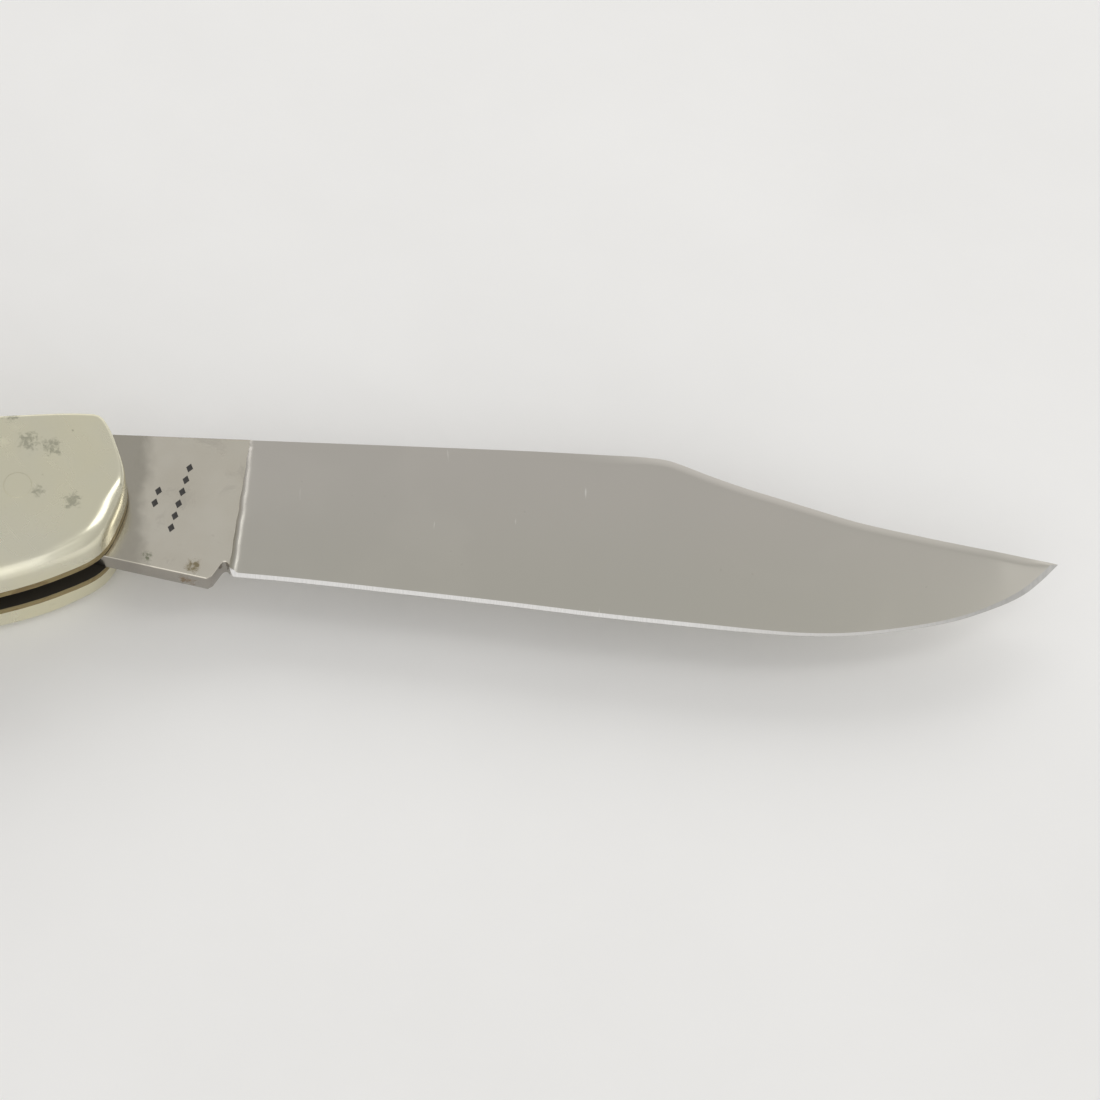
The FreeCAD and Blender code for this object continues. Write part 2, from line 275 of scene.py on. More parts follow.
def join(objects):
    """Joins objects into the first one."""
    deselect()
    for one in objects:
        one.select_set(True)
    bpy.context.view_layer.objects.active = objects[0]
    bpy.ops.object.join()
    return objects[0]


def turn_over(obj):
    """The mirror image of a piece on the other half of the knife, as a new object."""
    twin = copy_of(obj)
    for vertex in twin.data.vertices:
        vertex.co.z = 2 * MID_Z - vertex.co.z
    with editing(twin):
        face_outward()
    return twin


def mirror_half(obj):
    """Makes a whole piece of its upper half, which stands open on the knife's middle plane."""
    with editing(obj, "FACE", "DESELECT"):
        pick(obj, "faces", lambda face: all(abs(v.co.z - MID_Z) < LEVEL for v in face.verts))
        bpy.ops.mesh.delete(type="FACE")
        bpy.ops.mesh.select_mode(type="VERT")
        bpy.ops.mesh.select_all(action="SELECT")
        bpy.ops.mesh.duplicate()
        bpy.ops.transform.resize(value=(1, 1, -1), center_override=(0, 0, MID_Z))
        bpy.ops.mesh.select_all(action="SELECT")
        bpy.ops.mesh.remove_doubles(threshold=WELD)
        bpy.ops.mesh.normals_make_consistent(inside=False)
    return obj


def cut_away(obj, cutter):
    """Takes the cutter's space out of a piece; the new faces carry the cutter's materials."""
    make_active(obj)
    modifier = obj.modifiers.new("Cut", "BOOLEAN")
    modifier.operation = "DIFFERENCE"
    modifier.object = cutter
    modifier.solver = "EXACT"
    modifier.material_mode = "TRANSFER"
    bpy.ops.object.modifier_apply(modifier=modifier.name)
    bpy.data.objects.remove(cutter)
    return obj


def drill(obj, centre, radius, z_low, z_high):
    """A round hole through a piece."""
    bit = rod(centre, radius, z_low, z_high)
    bit.data.materials.append(obj.data.materials[0])
    return cut_away(obj, bit)


def along_handle(side=1):
    """The direction of the handle's length, forward or (-1) back."""
    return Matrix.Rotation(HANDLE_DROP, 3, "Z") @ Vector((side, 0, 0))


def slice_off(obj, x, side):
    """Cuts a piece at a station of the handle's frame and drops what lies on side (-1 rear, 1 front)."""
    with editing(obj):
        bpy.ops.mesh.bisect(plane_co=from_handle(x, 0), plane_no=along_handle(side), use_fill=True,
                            clear_outer=True)
    return obj


def is_level(a, b):
    return abs(a.z - b.z) < LEVEL


def break_edges(obj, width, segments, wanted):
    """Rounds the edges for which wanted(first point, second point) holds."""
    with editing(obj, "EDGE", "DESELECT"):
        pick(obj, "edges", lambda edge: wanted(edge.verts[0].co, edge.verts[1].co))
        bpy.ops.mesh.bevel(offset=width, segments=segments, profile=0.5, affect="EDGES")


def crisp_seams(obj):
    """Marks the edges between two materials as sharp."""
    with editing(obj, "EDGE", "DESELECT"):
        pick(obj, "edges", lambda edge: len({face.material_index for face in edge.link_faces}) > 1)
        bpy.ops.mesh.mark_sharp()
    return obj


def shade(obj, degrees=28):
    """Merges doubles and shades the piece smooth up to that angle."""
    with editing(obj, "VERT"):
        bpy.ops.mesh.remove_doubles(threshold=WELD)
    bpy.ops.object.shade_smooth_by_angle(angle=math.radians(degrees))
    return obj


def finish_piece(obj, name, node, body="handle"):
    """Names a piece and ties it to the frame: the node it replaces and its body."""
    obj.name = obj.data.name = name
    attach(obj, body)
    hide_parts(node)
    return obj


def rim_steps(mesh):
    """For each corner on the rim of an upper liner's top, its place and the key of the next one."""
    keys = [tuple(round(c * 1e6) for c in v.co) for v in mesh.vertices]
    places = {key: v.co.copy() for key, v in zip(keys, mesh.vertices)}
    top = round(COVER_Z * 1e6)
    sides = {}
    for face in mesh.polygons:
        if face.normal.z > 0.9 and all(abs(keys[i][2] - top) <= 3 for i in face.vertices):
            corners = [keys[i] for i in face.vertices]
            sides.update(dict.fromkeys(zip(corners, corners[1:] + corners[:1])))
    return {a: (places[a].xy, b) for a, b in sides if (b, a) not in sides}


def handle_outline(step):
    """The handle's outline as the upper liner has it, anticlockwise, about step apart."""
    follow = rim_steps(frame["nodes"]["upper_liner"].data)
    start = here = max(follow, key=lambda k: k[0])
    loop = []
    while True:
        place, here = follow[here]
        loop.append(place)
        if here == start:
            return resample(loop, step)


def resample(loop, step):
    """The closed loop again with evenly spaced points."""
    ring = loop + loop[:1]
    lengths = [(b - a).length for a, b in zip(ring, ring[1:])]
    count = round(sum(lengths) / step)
    spacing = sum(lengths) / count
    points, index, left = [], 0, 0.0
    for _ in range(count):
        while left > lengths[index]:
            left -= lengths[index]
            index += 1
        points.append(ring[index].lerp(ring[index + 1], left / lengths[index]))
        left += spacing
    return points


HANDLE = handle_outline(0.6 * MM)


# ---- materials -------------------------------------------------------------------------------
# Colours that dirt, wear and rust add to the finishes, with painted light among them: a painted glint on
# scratches, a painted dark reflection of the bolster, painted shade on the blade's side faces and painted
# shade with the dirt in the liners' slot
TARNISH, TARNISH_SPECK, SMUDGE = (0.36, 0.34, 0.24, 1), (0.14, 0.13, 0.08, 1), (0.22, 0.23, 0.17, 1)
DULL_STEEL, STEEL_SPECK, GLINT = (0.50, 0.51, 0.47, 1), (0.16, 0.12, 0.09, 1), (0.90, 0.89, 0.85, 1)
FINGER_MARK, BOLSTER_SHADE, SHADED_STEEL_SIDE = (0.25, 0.24, 0.21, 1), (0.33, 0.31, 0.26, 1), (0.33, 0.305, 0.28, 1)
STONE_LINE, BELLY_EDGE = (0.80, 0.79, 0.775, 1), (0.40, 0.39, 0.37, 1)
BRIGHT_BRASS, BROWN_BRASS, SLOT_DIRT_AND_SHADE = (0.39, 0.31, 0.145, 1), (0.16, 0.10, 0.04, 1), (0.014, 0.012, 0.009, 1)
BRIGHT_SPRING, SPRING_STAIN = (0.66, 0.65, 0.62, 1), (0.2, 0.17, 0.13, 1)
BONE_PORE, JIG_BOTTOM = (0.05, 0.02, 0.01, 1), (0.030, 0.011, 0.006, 1)
PUNCH_DARK, PUNCH_PALE = (0.02, 0.02, 0.02, 1), (0.06, 0.055, 0.05, 1)
FLOOR_SHADE = (0.86, 0.855, 0.845, 1)
# How fine each finish's lines are along X, Y and Z
GRINDING_LINES, STONE_LINES = (4200.0, 110.0, 110.0), (5200.0, 700.0, 700.0)
LINER_LINES, SPRING_LINES = (260.0, 260.0, 5000.0), (140.0, 3000.0, 3000.0)
BONE_STREAKS, BONE_PORES = (60.0, 420.0, 420.0), (700.0, 3200.0, 3200.0)
# Places on the knife where a finish changes
BLADE_TONES = (-0.010, 0.009)       # heights between which the ground face turns paler
SHADED_RICASSO = (0.0165, 0.0145)   # the ricasso carries a painted dark reflection of the bolster behind this station
EDGE_DULLS = (0.074, 0.092)         # the sharpening bevel turns greyer between these stations
SLOT_WALL = (1.68 * MM, 1.62 * MM)  # the liners carry dirt and painted shade nearer to the middle plane than this
SMUDGES = [(mm(0.8, 5.6, 14.6), 0.0021), (mm(3.6, 5.0, 14.6), 0.0019), (mm(-1.6, 8.9, 14.6), 0.0016),
           (mm(6.4, -1.6, 14.6), 0.0018), (mm(2.4, -0.6, 14.6), 0.0012)]
RUST_SPOTS = [(mm(20.2, -6.7, 8.8), 0.0016, (0.15, 0.115, 0.045, 1)),
              (mm(19.4, -8.1, 7.2), 0.0019, (0.18, 0.11, 0.04, 1)),
              (mm(14.9, -5.6, 8.8), 0.0011, (0.11, 0.12, 0.07, 1)),
              (mm(25.3, -6.6, 7.6), 0.0012, (0.14, 0.10, 0.07, 1))]


class Shader:
    """Adds nodes to a tree with little typing."""

    def __init__(self, tree):
        self.tree = tree

    def node(self, kind, inputs=None, **settings):
        made = self.tree.nodes.new(kind)
        for key, value in settings.items():
            setattr(made, key, value)
        for key, value in (inputs or {}).items():
            self.feed(made.inputs[key], value)
        return made

    def feed(self, socket, value):
        if isinstance(value, bpy.types.NodeSocket):
            self.tree.links.new(value, socket)
        else:
            socket.default_value = value

    def math(self, operation, a, b=0.0, clamp=False):
        return self.node("ShaderNodeMath", {0: a, 1: b}, operation=operation, use_clamp=clamp).outputs[0]

    def times(self, a, b):
        return self.math("MULTIPLY", a, b)

    def plus(self, a, b, clamp=False):
        return self.math("ADD", a, b, clamp)

    def less(self, a, b):
        return self.math("SUBTRACT", a, b)

    def mix(self, factor, a, b):
        return self.node("ShaderNodeMix", {"Factor": factor, 6: a, 7: b}, data_type="RGBA").outputs[2]

    def stain(self, colour, mask, strength, stain):
        """The colour, with some of the stain over it where the mask is."""
        return self.mix(self.times(mask, strength), colour, stain)

    def ramp(self, value, low, high, out_low=0.0, out_high=1.0):
        inputs = {"Value": value, "From Min": low, "From Max": high, "To Min": out_low, "To Max": out_high}
        return self.node("ShaderNodeMapRange", inputs, interpolation_type="SMOOTHSTEP").outputs["Result"]

    def noise(self, vector, scale, detail=3.0, roughness=0.55, distortion=0.0):
        return self.node("ShaderNodeTexNoise", {"Vector": vector, "Scale": scale, "Detail": detail,
                                                "Roughness": roughness,
                                                "Distortion": distortion}).outputs["Fac"]

    def lines(self, vector, stretch, *look):
        """Noise drawn out into lines; stretch is its fineness along each axis."""
        scaled = self.node("ShaderNodeVectorMath", {0: vector, 1: stretch}, operation="MULTIPLY")
        return self.noise(scaled.outputs[0], 1.0, *look)

    def turn(self, vector, angle):
        return self.node("ShaderNodeVectorRotate", {"Vector": vector, "Angle": angle},
                         rotation_type="Z_AXIS").outputs[0]

    def part(self, vector, axis):
        return self.node("ShaderNodeSeparateXYZ", {0: vector}).outputs[axis]

    def group(self, tree, inputs):
        return self.node("ShaderNodeGroup", inputs, node_tree=tree).outputs

    def bump(self, height, strength, distance, normal=None):
        inputs = {"Height": height, "Strength": strength, "Distance": distance}
        if normal is not None:
            inputs["Normal"] = normal
        return self.node("ShaderNodeBump", inputs).outputs[0]


def new_group(name, inputs, outputs):
    """A shader node group with named sockets; an input with no value of its own is a vector."""
    tree = bpy.data.node_groups.new(name, "ShaderNodeTree")
    for label, value in inputs.items():
        kind = "NodeSocketVector" if value is None else "NodeSocketFloat"
        socket = tree.interface.new_socket(name=label, in_out="INPUT", socket_type=kind)
        if value is not None:
            socket.default_value = value
    for label in outputs:
        tree.interface.new_socket(name=label, in_out="OUTPUT", socket_type="NodeSocketFloat")
    nodes = Shader(tree)
    return tree, nodes, nodes.node("NodeGroupInput").outputs, nodes.node("NodeGroupOutput").inputs


def scratches_group():
    """Long fine scratches along one direction: a mask from 0 to 1."""
    tree, s, given, out = new_group(
        "Scratches", {"Vector": None, "Turn": 0.0, "Fineness": 900.0, "Length": 40.0, "Rarity": 0.68},
        ["Mask"])
    stretch = s.node("ShaderNodeCombineXYZ", {"X": given["Fineness"], "Y": given["Length"],
                                              "Z": given["Length"]}).outputs[0]
    lines = s.lines(s.turn(given["Vector"], given["Turn"]), stretch, 2.0, 0.5)
    s.feed(out["Mask"], s.ramp(lines, given["Rarity"], s.plus(given["Rarity"], 0.05)))
    return tree


def grime_group():
    """Smudges in two sizes: a soft one for finger marks and a sharp one for specks."""
    tree, s, given, out = new_group(
        "Grime", {"Vector": None, "Smudge Size": 160.0, "Speck Size": 900.0, "Cover": 0.58},
        ["Smudge", "Speck"])
    broad = s.noise(given["Vector"], given["Smudge Size"], 5.0, 0.62, 0.6)
    s.feed(out["Smudge"], s.ramp(broad, given["Cover"], s.plus(given["Cover"], 0.16)))
    s.feed(out["Speck"], s.ramp(s.noise(given["Vector"], given["Speck Size"], 2.0, 0.5), 0.74, 0.78))
    return tree


def spot_group():
    """A cloud of fine specks that thins out round a centre: a mask from 0 to 1."""
    tree, s, given, out = new_group(
        "Spot", {"Vector": None, "Centre": None, "Radius": 0.001, "Grain": 1200.0}, ["Mask"])
    away = s.node("ShaderNodeVectorMath", {0: given["Vector"], 1: given["Centre"]},
                  operation="DISTANCE").outputs["Value"]
    near = s.ramp(s.math("DIVIDE", away, given["Radius"]), 1.0, 0.1)
    low = s.less(0.58, s.times(near, 0.28))
    speckled = s.ramp(s.noise(given["Vector"], given["Grain"], 5.0, 0.7, 0.5), low, s.plus(low, 0.26))
    s.feed(out["Mask"], s.times(speckled, s.ramp(near, 0.0, 0.3)))
    return tree


class Finishes:
    """Every material of the knife, each made once."""

    def __init__(self, colours):
        self.colours = colours
        self.scratches = scratches_group()
        self.grime = grime_group()
        self.spot = spot_group()
        self.made = {}

    def start(self, name):
        material = bpy.data.materials.new(name)
        material.use_nodes = True
        tree = material.node_tree
        shader = next(n for n in tree.nodes if n.type == "BSDF_PRINCIPLED")
        s = Shader(tree)
        self.made[name] = material
        return s, shader.inputs, s.node("ShaderNodeTexCoord").outputs["Object"]

    def scratched(self, s, place, turn, fineness, length, rarity):
        return s.group(self.scratches, {"Vector": place, "Turn": turn, "Fineness": fineness,
                                        "Length": length, "Rarity": rarity})["Mask"]

    def grimy(self, s, place, smudge_size, cover, speck_size=900.0):
        return s.group(self.grime, {"Vector": place, "Smudge Size": smudge_size, "Cover": cover,
                                    "Speck Size": speck_size})

    def spotted(self, s, place, centre, radius, grain):
        return s.group(self.spot, {"Vector": place, "Centre": centre, "Radius": radius,
                                   "Grain": grain})["Mask"]

    def nickel_silver(self, name="nickel_silver"):
        """Polished, a little yellow, with smudges, specks, waves and fine scratches."""
        s, out, place = self.start(name)
        grime = self.grimy(s, place, 210.0, 0.60)
        long_scratch = self.scratched(s, place, 1.1, 1300.0, 90.0, 0.76)
        fine_scratch = self.scratched(s, place, -0.7, 2600.0, 150.0, 0.66)
        tone = s.ramp(s.noise(place, 60.0, 3.0), 0.35, 0.65)
        colour = s.mix(tone, self.colours.nickel_silver, self.colours.nickel_silver_warm)
        colour = s.stain(colour, grime["Smudge"], 0.2, TARNISH)
        colour = s.stain(colour, grime["Speck"], 0.3, TARNISH_SPECK)
        for centre, radius in SMUDGES:
            colour = s.stain(colour, self.spotted(s, place, centre, radius, 1700.0), 0.5, SMUDGE)
        s.feed(out["Base Color"], colour)
        s.feed(out["Metallic"], s.less(1.0, s.times(grime["Smudge"], 0.35)))
        patches = s.ramp(s.noise(place, 110.0, 4.0), 0.3, 0.7, 0.22, 0.34)
        rough = s.plus(patches, s.times(fine_scratch, 0.10))
        s.feed(out["Roughness"], s.plus(rough, s.times(grime["Smudge"], 0.22), True))
        normal = s.bump(s.noise(place, 95.0, 2.0, 0.4), 0.2, 0.0003)
        cuts = s.plus(s.times(long_scratch, 0.6), s.times(fine_scratch, 0.5))
        s.feed(out["Normal"], s.bump(s.less(1.0, cuts), 0.03, 0.00002, normal))

    def ground_steel(self, name="ground_steel"):
        """The blade's faces: satin steel with grinding lines across the blade, a few specks, and fine
        scratches with a painted glint.
        """
        s, out, place = self.start(name)
        lines = s.lines(place, GRINDING_LINES, 3.0, 0.6)
        marks = self.scratched(s, place, 0.03, 1500.0, 170.0, 0.755)
        grime = self.grimy(s, place, 70.0, 0.5, 700.0)
        height = s.ramp(s.part(place, "Y"), *BLADE_TONES)
        colour = s.mix(height, self.colours.blade_low, self.colours.blade_high)
        colour = s.stain(colour, s.ramp(s.noise(place, 45.0, 3.0), 0.3, 0.7), 0.12, DULL_STEEL)
        colour = s.stain(colour, grime["Speck"], 0.12, STEEL_SPECK)
        # painted glint: the fine scratches are painted paler, standing in for the light they catch
        s.feed(out["Base Color"], s.stain(colour, marks, 0.6, GLINT))
        s.feed(out["Metallic"], s.less(1.0, s.times(grime["Speck"], 0.3)))
        rough = s.ramp(lines, 0.2, 0.8, 0.30, 0.33)
        s.feed(out["Roughness"], s.plus(rough, s.times(grime["Smudge"], 0.05)))
        s.feed(out["Normal"], s.bump(lines, 0.03, 0.00001))

    def ricasso_steel(self, name="ricasso_steel"):
        """The flat by the bolster: brighter polish, finger marks and a few rust spots, with a painted dark
        reflection of the bolster at its back and painted shade on its side faces.
        """
        s, out, place = self.start(name)
        grime = self.grimy(s, place, 260.0, 0.55)
        fine_scratch = self.scratched(s, place, 0.9, 2400.0, 210.0, 0.70)
        tone = s.ramp(s.noise(place, 120.0, 3.0), 0.3, 0.7)
        colour = s.mix(tone, self.colours.ricasso, self.colours.ricasso_warm)
        colour = s.stain(colour, grime["Smudge"], 0.25, FINGER_MARK)
        # painted dark reflection of the bolster: the ricasso is darkened behind a station near the bolster
        station = s.plus(s.part(place, "X"), s.times(s.noise(place, 300.0), 0.003))
        colour = s.stain(colour, s.ramp(station, *SHADED_RICASSO), 0.65, BOLSTER_SHADE)
        # painted shade: faces that turn away from straight up, the blade's sides, are darkened
        facing = s.part(s.node("ShaderNodeNewGeometry").outputs["Normal"], "Z")
        colour = s.stain(colour, s.ramp(s.math("ABSOLUTE", facing), 0.45, 0.2), 0.75, SHADED_STEEL_SIDE)
        metal = s.less(1.0, s.times(grime["Smudge"], 0.15))
        rough = s.plus(s.ramp(s.noise(place, 150.0, 4.0), 0.3, 0.7, 0.14, 0.26), s.times(fine_scratch, 0.05))
        for centre, radius, rust in RUST_SPOTS:
            mask = self.spotted(s, place, centre, radius, 1500.0)
            colour = s.stain(colour, mask, 0.9, rust)
            metal = s.times(metal, s.less(1.0, s.times(mask, 0.8)))
            rough = s.plus(rough, s.times(mask, 0.4))
        s.feed(out["Base Color"], colour)
        s.feed(out["Metallic"], metal)
        s.feed(out["Roughness"], s.plus(rough, 0.0, True))
        waves = s.bump(s.noise(place, 160.0, 2.0, 0.4), 0.2, 0.0002)
        s.feed(out["Normal"], s.bump(s.less(1.0, fine_scratch), 0.15, 0.00002, waves))

    def edge_steel(self, name="edge_steel"):
        """The sharpening bevel: bright, with coarse stone marks across it."""
        s, out, place = self.start(name)
        lines = s.lines(place, STONE_LINES, 3.0, 0.7)
        colour = s.mix(s.ramp(lines, 0.3, 0.7), self.colours.edge, STONE_LINE)
        s.feed(out["Base Color"], s.stain(colour, s.ramp(s.part(place, "X"), *EDGE_DULLS), 0.5, BELLY_EDGE))
        out["Metallic"].default_value = 1.0
        s.feed(out["Roughness"], s.ramp(lines, 0.3, 0.7, 0.28, 0.5))
        s.feed(out["Normal"], s.bump(lines, 0.35, 0.00004))

    def brass(self, name="liner_brass"):
        """Tarnished brass, darker in patches, with dirt and painted shade in the slot."""
        s, out, place = self.start(name)
        smudge = self.grimy(s, place, 320.0, 0.48)["Smudge"]
        brushed = s.lines(place, LINER_LINES, 3.0)
        colour = s.mix(s.ramp(brushed, 0.3, 0.7), self.colours.brass, BRIGHT_BRASS)
        colour = s.stain(colour, smudge, 0.55, BROWN_BRASS)
        # dirt and painted shade in the slot between the liners: faces near the middle plane turn nearly black
        # and lose their shine
        level = s.less(s.part(place, "Z"), MID_Z)
        slot_grime_and_shade = s.times(s.ramp(s.math("ABSOLUTE", level), *SLOT_WALL), 0.96)
        s.feed(out["Base Color"], s.mix(slot_grime_and_shade, colour, SLOT_DIRT_AND_SHADE))
        s.feed(out["Metallic"], s.less(1.0, s.math("MAXIMUM", slot_grime_and_shade, s.times(smudge, 0.4))))
        s.feed(out["Roughness"], s.plus(s.ramp(brushed, 0.3, 0.7, 0.28, 0.42),
                                        s.times(s.math("MAXIMUM", slot_grime_and_shade, smudge), 0.25), True))
        s.feed(out["Normal"], s.bump(brushed, 0.15, 0.00004))

    def plain_steel(self, name="spring_steel"):
        """Satin steel, brushed along the knife."""
        s, out, place = self.start(name)
        brushed = s.lines(place, SPRING_LINES, 3.0)
        colour = s.mix(s.ramp(brushed, 0.3, 0.7), self.colours.spring, BRIGHT_SPRING)
        smudge = self.grimy(s, place, 240.0, 0.55)["Smudge"]
        s.feed(out["Base Color"], s.stain(colour, smudge, 0.35, SPRING_STAIN))
        out["Metallic"].default_value = 1.0
        s.feed(out["Roughness"], s.ramp(brushed, 0.3, 0.7, 0.26, 0.42))
        s.feed(out["Normal"], s.bump(brushed, 0.12, 0.00003))

    def bone(self, name="bone"):
        """Dyed bone: warm brown, redder and paler in streaks along the handle, with fine pores."""
        s, out, place = self.start(name)
        along = s.turn(place, -HANDLE_DROP)
        streaks = s.lines(along, BONE_STREAKS, 5.0, 0.6, 0.8)
        pore = s.ramp(s.lines(along, BONE_PORES, 2.0), 0.62, 0.72)
        colour = s.mix(s.ramp(streaks, 0.3, 0.7), self.colours.bone_dark, self.colours.bone)
        blotches = s.ramp(s.noise(place, 75.0, 3.0), 0.35, 0.65)
        colour = s.stain(colour, blotches, 0.5, self.colours.bone_pale)
        s.feed(out["Base Color"], s.stain(colour, pore, 0.5, BONE_PORE))
        s.feed(out["Roughness"], s.ramp(streaks, 0.3, 0.7, 0.30, 0.42))
        out["Coat Weight"].default_value = 0.35
        out["Coat Roughness"].default_value = 0.18
        s.feed(out["Normal"], s.bump(s.less(streaks, pore), 0.2, 0.00008))

    def jig(self, name="bone_jigging"):
        """The cut hollows of the bone, where the dye is darkest."""
        s, out, place = self.start(name)
        grain = s.noise(place, 900.0, 4.0)
        s.feed(out["Base Color"], s.mix(s.ramp(grain, 0.3, 0.7), JIG_BOTTOM, self.colours.jigging))
        s.feed(out["Roughness"], s.ramp(grain, 0.3, 0.7, 0.42, 0.6))
        s.feed(out["Normal"], s.bump(grain, 0.4, 0.00008))

    def stamp(self, name="stamp_fill"):
        """The dark bottom of the punch marks."""
        s, out, place = self.start(name)
        grain = s.noise(place, 2500.0, 2.0)
        s.feed(out["Base Color"], s.mix(grain, PUNCH_DARK, PUNCH_PALE))
        s.feed(out["Roughness"], s.ramp(grain, 0.3, 0.7, 0.5, 0.7))
        s.feed(out["Normal"], s.bump(grain, 0.3, 0.00004))

    def floor(self, name="floor"):
        """Plain pale floor, very slightly mottled."""
        s, out, place = self.start(name)
        mottle = s.ramp(s.noise(place, 14.0, 5.0, 0.6), 0.3, 0.7)
        s.feed(out["Base Color"], s.mix(mottle, FLOOR_SHADE, self.colours.floor))
        out["Roughness"].default_value = 0.9
        out["Specular IOR Level"].default_value = 0.1
        soft = s.bump(s.noise(place, 30.0, 3.0), 0.12, 0.004)
        s.feed(out["Normal"], s.bump(s.noise(place, 900.0, 2.0), 0.1, 0.0001, soft))

    def make_all(self):
        for make in (self.nickel_silver, self.ground_steel, self.ricasso_steel, self.edge_steel, self.brass,
                     self.plain_steel, self.bone, self.jig, self.stamp, self.floor):
            make()
        return self.made


FINISHES = {}


def finish(name):
    """A material by its name, made with the rest at the first call."""
    if not FINISHES:
        FINISHES.update(Finishes(bpy.context.scene.knife_colours).make_all())
    return FINISHES[name]


def paint(obj, *names):
    """Gives an object these materials, in order."""
    obj.data.materials.clear()
    for name in names:
        obj.data.materials.append(finish(name))
    return obj


# ---- settings --------------------------------------------------------------------------------
def number(name, description, value, **more):
    return bpy.props.FloatProperty(name=name, description=description, default=value, **more)


def length(name, description, millimetres):
    return number(name, description, millimetres * MM, min=0.0, precision=5, unit="LENGTH")


def tint(name, description, colour):
    return bpy.props.FloatVectorProperty(name=name, description=description, default=(*colour, 1.0),
                                         size=4, min=0.0, max=1.0, subtype="COLOR")


class KnifeSizes(bpy.types.PropertyGroup):
    """The sizes of what the maker adds to the plain frame."""

    spine_grind: length("Spine grind", "Half thickness that the main grind leaves at the spine", 1.39)
    edge_grind: length("Edge grind", "Half thickness that the main grind leaves at the edge", 0.24)
    plunge_radius: length("Plunge radius", "Radius of the hollow where the grind starts", 1.0)
    bevel_width: length("Edge bevel", "Width of the sharpening bevel", 0.38)
    swedge_width: length("Swedge", "Width of the false bevel along the clip", 1.1)
    swedge_drop: length("Swedge drop", "How far the false bevel lowers the spine's edge", 0.31)
    belly_round: length("Belly round", "Rounding of the covers along the belly", 1.7)
    corner_round: length("Nose round", "Rounding of the covers at the lower front corner", 2.3)
    back_round: length("Back round", "Rounding of the covers along the back", 0.45)
    jig_depth: length("Jigging depth", "Depth of the hollows in the bone", 0.42)
    jig_length: length("Jigging length", "Length of the hollows in the bone", 4.0)
    jig_width: length("Jigging width", "Width of the hollows in the bone", 1.5)
    pin_gap: length("Pin gap", "Fine gap round each pin head", 0.006)


class KnifeColours(bpy.types.PropertyGroup):
    """The colours of the finishes."""

    nickel_silver: tint("Nickel silver", "Bolsters, pins and shield", (0.80, 0.775, 0.63))
    nickel_silver_warm: tint("Warm nickel silver", "Its yellower patches", (0.82, 0.785, 0.60))
    blade_low: tint("Blade, low", "The ground face near the edge", (0.565, 0.545, 0.485))
    blade_high: tint("Blade, high", "The ground face near the spine", (0.60, 0.57, 0.525))
    ricasso: tint("Ricasso", "The flat by the bolster", (0.72, 0.685, 0.60))
    ricasso_warm: tint("Warm ricasso", "Its warmer patches", (0.67, 0.63, 0.54))
    edge: tint("Edge", "The sharpening bevel", (0.66, 0.655, 0.64))
    brass: tint("Brass", "The liners", (0.275, 0.212, 0.088))
    spring: tint("Spring", "The back spring and rivets", (0.50, 0.49, 0.47))
    bone: tint("Bone", "The scales' surface", (0.30, 0.115, 0.045))
    bone_dark: tint("Dark bone", "The scales' darker streaks", (0.13, 0.042, 0.018))
    bone_pale: tint("Pale bone", "The scales' worn patches", (0.42, 0.19, 0.08))
    jigging: tint("Jigging", "The hollows in the bone", (0.085, 0.03, 0.014))
    floor: tint("Floor", "The floor", (0.885, 0.88, 0.87))


class StageSettings(bpy.types.PropertyGroup):
    """Camera and light."""

    lens: number("Lens", "Focal length in millimetres", 147.27)
    roll: number("Roll", "Turn of the camera about its view", math.radians(2.18), subtype="ANGLE")
    tilt: number("Tilt", "Angle of the view from straight down", math.radians(25), subtype="ANGLE")
    camera: bpy.props.FloatVectorProperty(name="Camera", description="Place of the camera", unit="LENGTH",
                                          default=(0.061243, -0.222552, 0.479745))
    sky: number("Sky", "Strength of the soft light all round", 1.06)
    window: number("Window", "Power of the light behind the knife", 4.3, unit="POWER")
    fill: number("Fill", "Power of the light before the knife", 0.9, unit="POWER")
    side: number("Side", "Power of the light at the right", 0.85, unit="POWER")


# ---- blade -----------------------------------------------------------------------------------
def blade_outline():
    """The blade's outline with its tang, anticlockwise from the kick."""
    turn = math.radians(JOINTS["blade_pivot"]["range_deg"][1] + 90)
    out = Vector((math.cos(turn), math.sin(turn)))
    cam_low = out * TANG_FLAT - Vector((-out.y, out.x)) * TANG_CORNER
    start = math.atan2(cam_low.y, cam_low.x)
    end = math.atan2(TANG[0][1], TANG[0][0]) - 2 * math.pi
    cam = [Vector((math.cos(a), math.sin(a))) * TANG_RADIUS
           for a in (start + (end - start) * i / 24 for i in range(25))]
    lower = [Vector(KICK), Vector((22.45, -7.9))] + smooth_path(NOTCH, 0.12) + [Vector((24.75, -7.15))]
    edge = smooth_path(EDGE, 0.6)
    spine = [Vector((CLIP[0][0] - 1.2 * i, SPINE_Y)) for i in range(1, 54)]
    back = list(reversed(smooth_path(CLIP, 0.6)))[1:]
    tang = [Vector(p) for p in reversed(TANG)]
    return [p * MM for p in lower + edge + back + spine + tang + cam[::-1][1:]]


def spine_half(x, sizes):
    """Half thickness at the top of the main grind at x, in millimetres: it thins towards the tip."""
    return sizes.spine_grind / MM - 0.22 * ease((x - 40) / 50) - 0.35 * ease((x - 80) / 42)


